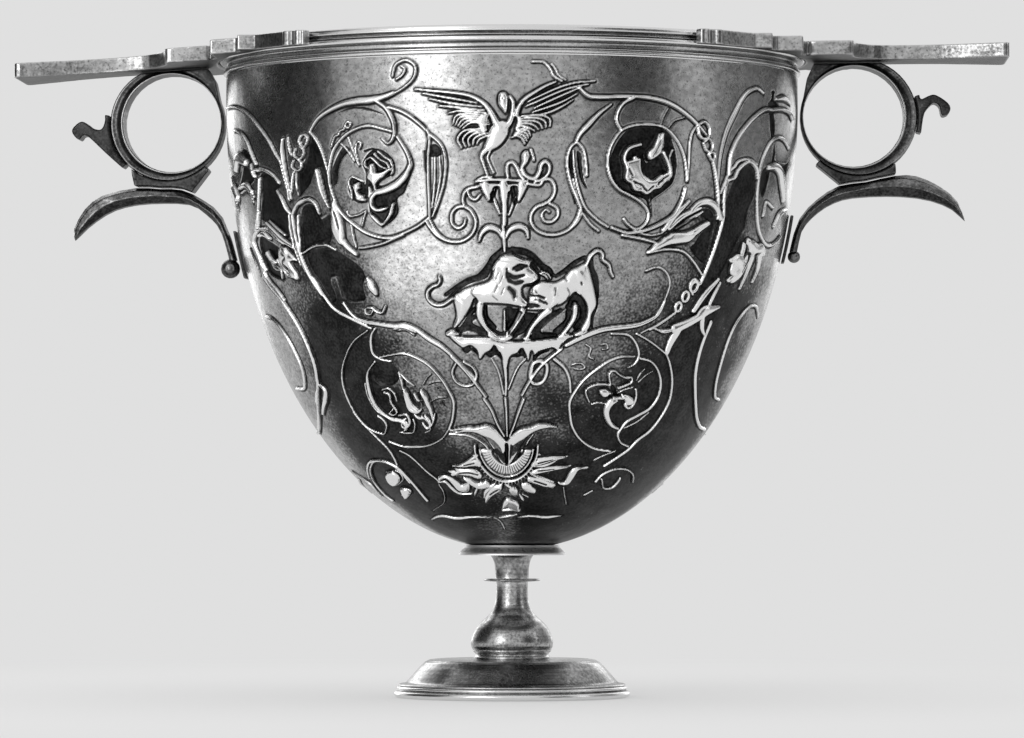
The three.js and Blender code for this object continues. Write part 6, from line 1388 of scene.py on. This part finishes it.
def bowl_panel(start):
    """One panel's mesh, from a column of the grid on."""
    columns = (start + np.arange(panel_columns + 1)) % (2 * HALF_TURN_COLUMNS)
    face = outer_face[:, columns]
    back = inner_face[::COARSE, columns[::COARSE]]
    face_count, back_count = face.size // 3, back.size // 3
    fine = np.arange(face_count).reshape(face.shape[:2])
    coarse = face_count + np.arange(back_count).reshape(back.shape[:2])
    walls = np.vstack(
        [
            zipped(fine[:, 0], coarse[:, 0]),
            zipped(fine[:, -1], coarse[:, -1])[:, ::-1],
            zipped(fine[-1], coarse[-1]),
            zipped(fine[0], coarse[0])[:, ::-1],
        ]
    )
    points = np.vstack([face.reshape(-1, 3), back.reshape(-1, 3)])
    mesh = shaped("chased_panel", points, grid_faces(fine), grid_faces(coarse)[:, ::-1], walls)
    normals = np.vstack([outer_normals[:, columns].reshape(-1, 3), np.zeros((back_count, 3))])
    mesh.normals_split_custom_set_from_vertices(normals)
    for label, grid, plain in (("hollow_and_shade", hollows_and_shade, PLAIN_HOLLOW), ("film_and_shade", film_and_painted_light, 0.0)):
        mark(mesh, label, np.concatenate([grid[:, columns].ravel(), np.full(back_count, plain)]))
    up, over = (FACE_SHARE * place / (size - 1) for place, size in zip(np.indices(fine.shape), fine.shape))
    places = np.vstack([np.column_stack([over.ravel(), up.ravel()]), np.full((back_count, 2), BACK_SPOT)])
    corners = rows_of(mesh.loops, "vertex_index", 1, np.int32)[:, 0]
    unwrap = mesh.uv_layers.new(name="OFBake")
    unwrap.data.foreach_set("uv", places[corners].astype(np.float32).ravel())
    return mesh


chased_silver = old_silver(
    "chased_silver", bright=0.92, dull=0.46, dark=0.019, rough=0.27, cover=0.36, turned_lines=0.0,
    relief=0.08, cloud_size=9.0, speck_size=0.45,
)
for index in range(PANELS):
    panel = bowl_panel(index * panel_columns - panel_columns // 2)
    name = f"chased_panel_{index + 1}"
    dressed(name, panel, "bowl_casing", "chased_silver", chased_silver, sharp=0, hollows_and_shade=False)

# The liner: a plain cup of silver sheet inside the casing, which hides the hollows of the relief.
# It is raised to the same curve a little smaller, and held by the rim.
LINER_INSET = 0.9
LINER_WALL = 0.7
LINER_STEPS = 40
AXIS_GAP = 0.02
liner_swing = np.linspace(0, math.pi / 2, LINER_STEPS)


def liner_face(inset):
    """One face of the liner's half section, from the axis up to the edge."""
    radius = np.maximum((bowl_radius - inset) * np.sin(liner_swing), AXIS_GAP)
    height = spring - (BOWL_CURVE - inset) * np.cos(liner_swing)
    return np.vstack([np.column_stack([radius, height]), [(bowl_radius - inset, bowl_edge)]])


plain_silver = old_silver(
    "plain_silver", bright=0.75, dull=0.5, dark=0.16, rough=0.3, cover=0.3, relief=0.03
)
liner_section = np.vstack([liner_face(LINER_INSET), liner_face(LINER_INSET + LINER_WALL)[::-1]])
liner = turned("liner", liner_section)
dressed("liner", liner, "bowl_liner", "plain_silver", plain_silver, depth=3.0, sharp=30)

# The rim: a cast moulding soldered over the edges of casing and liner. From below it has a thin
# lip, a light band, a hollow, a round roll, a double groove and a round top edge.
RIM_FACE = [
    (0.85, 0.0), (0.75, 0.08), (0.75, 0.4), (0.95, 0.52), (1.1, 0.6), (0.95, 0.72), (1.0, 0.86), (1.35, 1.0),
    (1.5, 1.3), (1.5, 1.7), (1.3, 1.95), (0.6, 2.1), (0.2, 2.25), (0.0, 2.55), (0.05, 2.9), (0.4, 3.08),
    (0.9, 3.14), (1.05, 3.2), (0.8, 3.3), (0.8, 3.45), (1.1, 3.58), (1.05, 3.72), (0.6, 3.84), (0.25, 4.05),
    (0.2, 4.5), (0.35, 4.9), (0.8, 5.08),
]
RIM_FACE_HEIGHT = 5.1
RIM_EASE, RIM_EASE_STEPS = 0.12, 3
rim_base, rim_top, rim_radius = levels("rim_moulding")
rim_inner = bowl_radius - LINER_INSET - LINER_WALL
rim_scale = (rim_top - rim_base) / RIM_FACE_HEIGHT
rim_face = np.array([(rim_radius - back, rim_base + up * rim_scale) for back, up in RIM_FACE])
rim_section = np.vstack(
    [
        [(rim_inner, rim_base)],
        eased(rim_face, RIM_EASE, RIM_EASE_STEPS)[RIM_EASE_STEPS:-RIM_EASE_STEPS],
        [(rim_radius - 1.1, rim_top), (rim_inner + 0.5, rim_top), (rim_inner + 0.1, rim_top - 0.3)],
    ]
)
rim_silver = old_silver(
    "rim_silver", bright=0.82, dull=0.42, dark=0.04, rough=0.24, cover=0.56, relief=0.04, hollow_depth=1.6,
    speck_size=0.5,
)
dressed("rim", turned("rim", rim_section), "rim_moulding", "worn_silver", rim_silver, passes=10, depth=0.28)

# The handles: cast by hand, one for each side, and soldered on. Each casting starts from the
# solid's own form. Its edges are rounded off and its faces worked, and none is quite even.
SEAT_GAP = 0.3
RING_BAR = 0.7
LUNE_SHIFT = 1.0
LUNE_EXTRA = 1.6
UNDERSIDE = (0.125, 0.75)
EASE_FACTOR = 0.5


def casting(name, node, grain, ease, work=None, film_and_shade=0.0):
    """A copy of a solid with a fine even mesh, rounded edges and its faces worked by a function.

    The faces turned downwards are marked for a thicker film, so they come out darker.
    """
    solid = bpy.data.objects[node]
    rough_cast = added(name, solid.data.copy())
    rough_cast.matrix_world = solid.matrix_world
    remesh = rough_cast.modifiers.new("even", "REMESH")
    remesh.mode = "VOXEL"
    remesh.voxel_size = grain * MM
    smooth = rough_cast.modifiers.new("ease", "SMOOTH")
    smooth.factor = EASE_FACTOR
    smooth.iterations = ease
    bpy.context.view_layer.update()
    shaped_copy = rough_cast.evaluated_get(bpy.context.evaluated_depsgraph_get())
    mesh = bpy.data.meshes.new_from_object(shaped_copy)
    mesh.transform(rough_cast.matrix_world)
    bpy.data.objects.remove(rough_cast)
    mesh.name = name
    mesh.materials.clear()
    if work:
        points = work(rows_of(mesh.vertices, "co", 3) / MM)
        mesh.vertices.foreach_set("co", (points * MM).ravel())
    mesh.polygons.foreach_set("use_smooth", np.ones(len(mesh.polygons), dtype=bool))
    mesh.update()
    underside = ramp(-rows_of(mesh.vertices, "normal", 3)[:, 2], *UNDERSIDE)
    mark(mesh, "film_and_shade", np.clip(film_and_shade + underside, 0, 1))
    return mesh


# The finger ring's leaf has a thin hoop along the bore and a dished face that thins outwards.
HOOP_AT, HOOP_SPREAD = 0.1, 0.12
DISH_AT, DISH_SPREAD = 0.55, 0.28
LEAF_THICK, HOOP_THICK = 0.9, 0.1
DISH_DEEP, EDGE_THIN = 0.16, 0.22
FULL_WIDTH, LEAST_WIDTH = 2.5, 0.3


def worked_ring(side, bore, centre_height):
    """The work on a finger ring: its hoop, its dish and its thin outer edge."""
    reach = bowl_radius + SEAT_GAP + RING_BAR + bore

    def work(points):
        out = points[:, 0] * side - reach
        up = points[:, 2] - centre_height
        from_bore = np.hypot(out, up) - bore
        beyond = bore + LUNE_EXTRA - np.maximum(np.hypot(out - LUNE_SHIFT, up), 1e-6)
        share = np.clip(from_bore / np.maximum(from_bore + np.maximum(beyond, 0), LEAST_WIDTH), 0, 1)
        thick = ramp(from_bore + beyond, 0, FULL_WIDTH)
        hoop = HOOP_THICK * swell(share, HOOP_AT, HOOP_SPREAD)
        dish = DISH_DEEP * swell(share, DISH_AT, DISH_SPREAD)
        points[:, 1] *= LEAF_THICK + hoop - (dish + EDGE_THIN * share**2) * thick
        return points

    return work


# The spur and the neck are drawn up to the ring by the solder, and the crescent's lower end is drawn
# down on to the ball.
PULLED = 0.28
PULL_REACH = 1.0
TAIL_DROP = 0.7
TAIL_REACH, TAIL_FULL = 5.0, 2.0
TAIL_HEIGHT = 3.0


def seated(side, bore, centre_height):
    """The work on a piece beside a ring: the edge that faces the ring is drawn up to it."""
    reach = bowl_radius + SEAT_GAP + RING_BAR + bore + LUNE_SHIFT

    def work(points):
        out = points[:, 0] - side * reach
        up = points[:, 2] - centre_height
        away = np.hypot(out, up)
        pull = PULLED * ramp(away - bore - LUNE_EXTRA, PULL_REACH, 0) / away
        points[:, 0] -= pull * out
        points[:, 2] -= pull * up
        return points

    return work


def drawn_down(points):
    """The work on a crescent: its lower end, by the wall, reaches the ball."""
    out, low = np.abs(points[:, 0]), points[:, 2].min()
    near_wall = ramp(out - out.min(), TAIL_REACH, TAIL_FULL)
    points[:, 2] -= TAIL_DROP * near_wall * ramp(points[:, 2] - low, TAIL_HEIGHT, 0)
    return points


dark_casting = old_silver(
    "dark_casting", bright=0.62, dull=0.26, dark=0.03, rough=0.26, cover=0.52, turned_lines=0.0, relief=0.1,
    cloud_size=4.0, speck_size=0.5, rub=0.8, hollow_depth=1.2,
)
plate_silver = old_silver(
    "plate_silver", bright=0.78, dull=0.5, dark=0.04, rough=0.28, cover=0.47, turned_lines=0.0, relief=0.06,
    cloud_size=6.0, speck_size=0.5, rub=0.6,
)
for hand, side, bore, height in (("right", 1, 9.5, 109.95), ("left", -1, 9.3, 109.04)):
    ring_work = worked_ring(side, bore, height)
    to_ring = seated(side, bore, height)
    for piece, node, slot, material, depth, grain, ease, work, film_and_shade in (
        ("ring", "finger_ring", "dark_silver", dark_casting, 0.6, 0.16, 4, ring_work, 0.2),
        ("spur", "spur_leaf", "dark_silver", dark_casting, 1.2, 0.12, 4, to_ring, 0.45),
        ("neck", "ring_neck", "dark_silver", dark_casting, 1.2, 0.16, 4, to_ring, 0.8),
        ("crescent", "crescent_rest", "dark_silver", dark_casting, 1.2, 0.16, 4, drawn_down, 0.0),
        ("pad", "wall_pad", "dark_silver", dark_casting, 1.2, 0.12, 4, None, 0.6),
        ("plate", "thumb_plate", "worn_silver", plate_silver, 0.8, 0.2, 3, None, 0.0),
        ("ball", "ball_terminal", "worn_silver", dark_casting, 0.4, 0.12, 8, None, 0.0),
    ):
        mesh = casting(f"{hand}_{piece}", f"{hand}_{node}", grain, ease, work, film_and_shade)
        dressed(f"{hand}_{piece}", mesh, f"{hand}_{node}", slot, material, depth=depth, sharp=0)

# The cup stands on a wide pale sheet of paper. Near it the paper is a plain matt surface that takes the
# soft shadow, and farther out it passes into the same pale grey as the backdrop, so no horizon shows.
PAPER_REACH = 8.0
PAPER_PALE = (0.745, 0.745, 0.745, 1)
PAPER_MATT = (0.74, 0.74, 0.74, 1)
PAPER_ROUGH = 0.95
PAPER_SHINE = 0.1
SHADOW_REACH = 0.09
PAPER_BLEND = 0.16
PAPER_SHARE = 0.45


def sheet(name, width, tall):
    """A flat sheet, lying face up round its own middle."""
    right, top = width / 2, tall / 2
    mesh = bpy.data.meshes.new(name)
    corners = [(-right, -top, 0), (right, -top, 0), (right, top, 0), (-right, top, 0)]
    mesh.from_pydata(corners, [], [(0, 1, 2, 3)])
    thing = added(name, mesh)
    return thing


def painted(name, colour, rough):
    """A matt material, with its node tree and its shader."""
    material = bpy.data.materials.new(name)
    material.use_nodes = True
    shader = material.node_tree.nodes["Principled BSDF"]
    shader.inputs["Base Color"].default_value = colour
    shader.inputs["Roughness"].default_value = rough
    return material, material.node_tree, shader


def looked_at(tree):
    """One for what the eye, a reflection or glass shows, and nought for the light that falls."""
    rays = tree.nodes.new("ShaderNodeLightPath").outputs
    seen = reckon(tree, "ADD", rays["Is Camera Ray"], rays["Is Glossy Ray"], clamp=True)
    return reckon(tree, "ADD", seen, rays["Is Transmission Ray"], clamp=True)


def either(tree, share, first, second, surface):
    """Puts a mix of two shaders on a surface."""
    mix = tree.nodes.new("ShaderNodeMixShader")
    joined(tree, mix.inputs["Fac"], share)
    joined(tree, mix.inputs[1], first)
    joined(tree, mix.inputs[2], second)
    joined(tree, surface, mix.outputs["Shader"])


floor = sheet("floor", 2 * PAPER_REACH, 2 * PAPER_REACH)
paper, tree, matt = painted("pale_paper", PAPER_MATT, PAPER_ROUGH)
matt.inputs["Specular IOR Level"].default_value = PAPER_SHINE
place = tree.nodes.new("ShaderNodeTexCoord")
reach = tree.nodes.new("ShaderNodeVectorMath")
reach.operation = "LENGTH"
joined(tree, reach.inputs[0], place.outputs["Object"])
far = stretch(tree, reach.outputs["Value"], SHADOW_REACH, SHADOW_REACH + PAPER_BLEND, PAPER_SHARE)
glow = tree.nodes.new("ShaderNodeEmission")
glow.inputs["Color"].default_value = PAPER_PALE
share = reckon(tree, "MULTIPLY", looked_at(tree), far)
surface = tree.nodes["Material Output"].inputs["Surface"]
either(tree, share, matt.outputs["BSDF"], glow.outputs["Emission"], surface)
floor.data.materials.append(paper)

# The backdrop all round is the same pale grey wherever it is seen, and lights the paper from above.
SKY_LIGHT = (1.08, 1.08, 1.08, 1)

world = bpy.data.worlds.new("studio")
world.use_nodes = True
tree = world.node_tree
pale = tree.nodes["Background"]
pale.inputs["Color"].default_value = PAPER_PALE
pale.inputs["Strength"].default_value = 1.0
soft = tree.nodes.new("ShaderNodeBackground")
soft.inputs["Color"].default_value = SKY_LIGHT
surface = tree.nodes["World Output"].inputs["Surface"]
either(tree, looked_at(tree), soft.outputs["Background"], pale.outputs["Background"], surface)
scene.world = world

# Soft boxes stand round the cup, each given by its bearing from the camera's side, its distance, its
# height, its width, its tallness and its level, all out of the picture.
BOX_POWER = 4


def stand(turn, distance, height):
    """A place round the cup, from its bearing, its distance and its height."""
    angle = math.radians(turn)
    return Vector((distance * math.sin(angle), -distance * math.cos(angle), height))


def soft_box(name, place, rotation, width, tall, level):
    """A lamp with a flat face, out of the picture, that lights the silver and not the paper."""
    data = bpy.data.lights.new(name, "AREA")
    data.shape = "RECTANGLE"
    data.size = width
    data.size_y = tall
    data.energy = BOX_POWER * width * tall * level
    lamp = added(name, data)
    lamp.location = place
    lamp.rotation_euler = rotation
    lamp.visible_camera = False
    lamp.visible_diffuse = False
    return lamp


for name, turn, distance, height, width, tall, level in (
    ("key_box", -31, 1.1, 0.40, 0.42, 0.8, 2.2),
    ("back_left_box", -152, 0.9, 0.30, 0.30, 0.7, 1.3),
    ("back_right_box", 158, 0.9, 0.32, 0.22, 0.6, 1.0),
    ("right_box", 84, 1.0, 0.5, 0.16, 0.35, 1.0),
):
    place = stand(turn, distance, height)
    box = soft_box(name, place, facing(place, AIM, "-Z"), width, tall, level)
    box.visible_diffuse = name == "key_box"

# A low panel in front on the left, facing up, lights the bowl's shoulder from beneath.
LOW_TURN, LOW_DISTANCE, LOW_HEIGHT = -30, 0.42, 0.003
LOW_WIDTH, LOW_TALL, LOW_LEVEL = 0.17, 0.5, 1.3
place = stand(LOW_TURN, LOW_DISTANCE, LOW_HEIGHT)
soft_box("low_panel", place, (math.pi, 0, math.radians(LOW_TURN)), LOW_WIDTH, LOW_TALL, LOW_LEVEL)

# Dark cards at the sides give the silver something dark to reflect. Each faces the cup's axis, and is
# given as the soft boxes are, with the grey of its paint.
CARD_ROUGH = 0.9
for name, turn, distance, height, width, tall, shade in (
    ("left_card", -98, 0.55, 0.33, 0.62, 0.66, 0.02),
    ("right_card", 50, 0.70, 0.30, 0.42, 0.60, 0.04),
    ("far_right_card", 108, 0.60, 0.22, 0.50, 0.44, 0.25),
):
    card = sheet(name, width, tall)
    card.location = stand(turn, distance, height)
    card.rotation_euler = facing(card.location, Vector((0, 0, height)), "Z")
    card.data.materials.append(painted(name + "_paint", (shade, shade, shade, 1), CARD_ROUGH)[0])
    card.visible_camera = False
    card.visible_diffuse = False
    card.visible_shadow = False
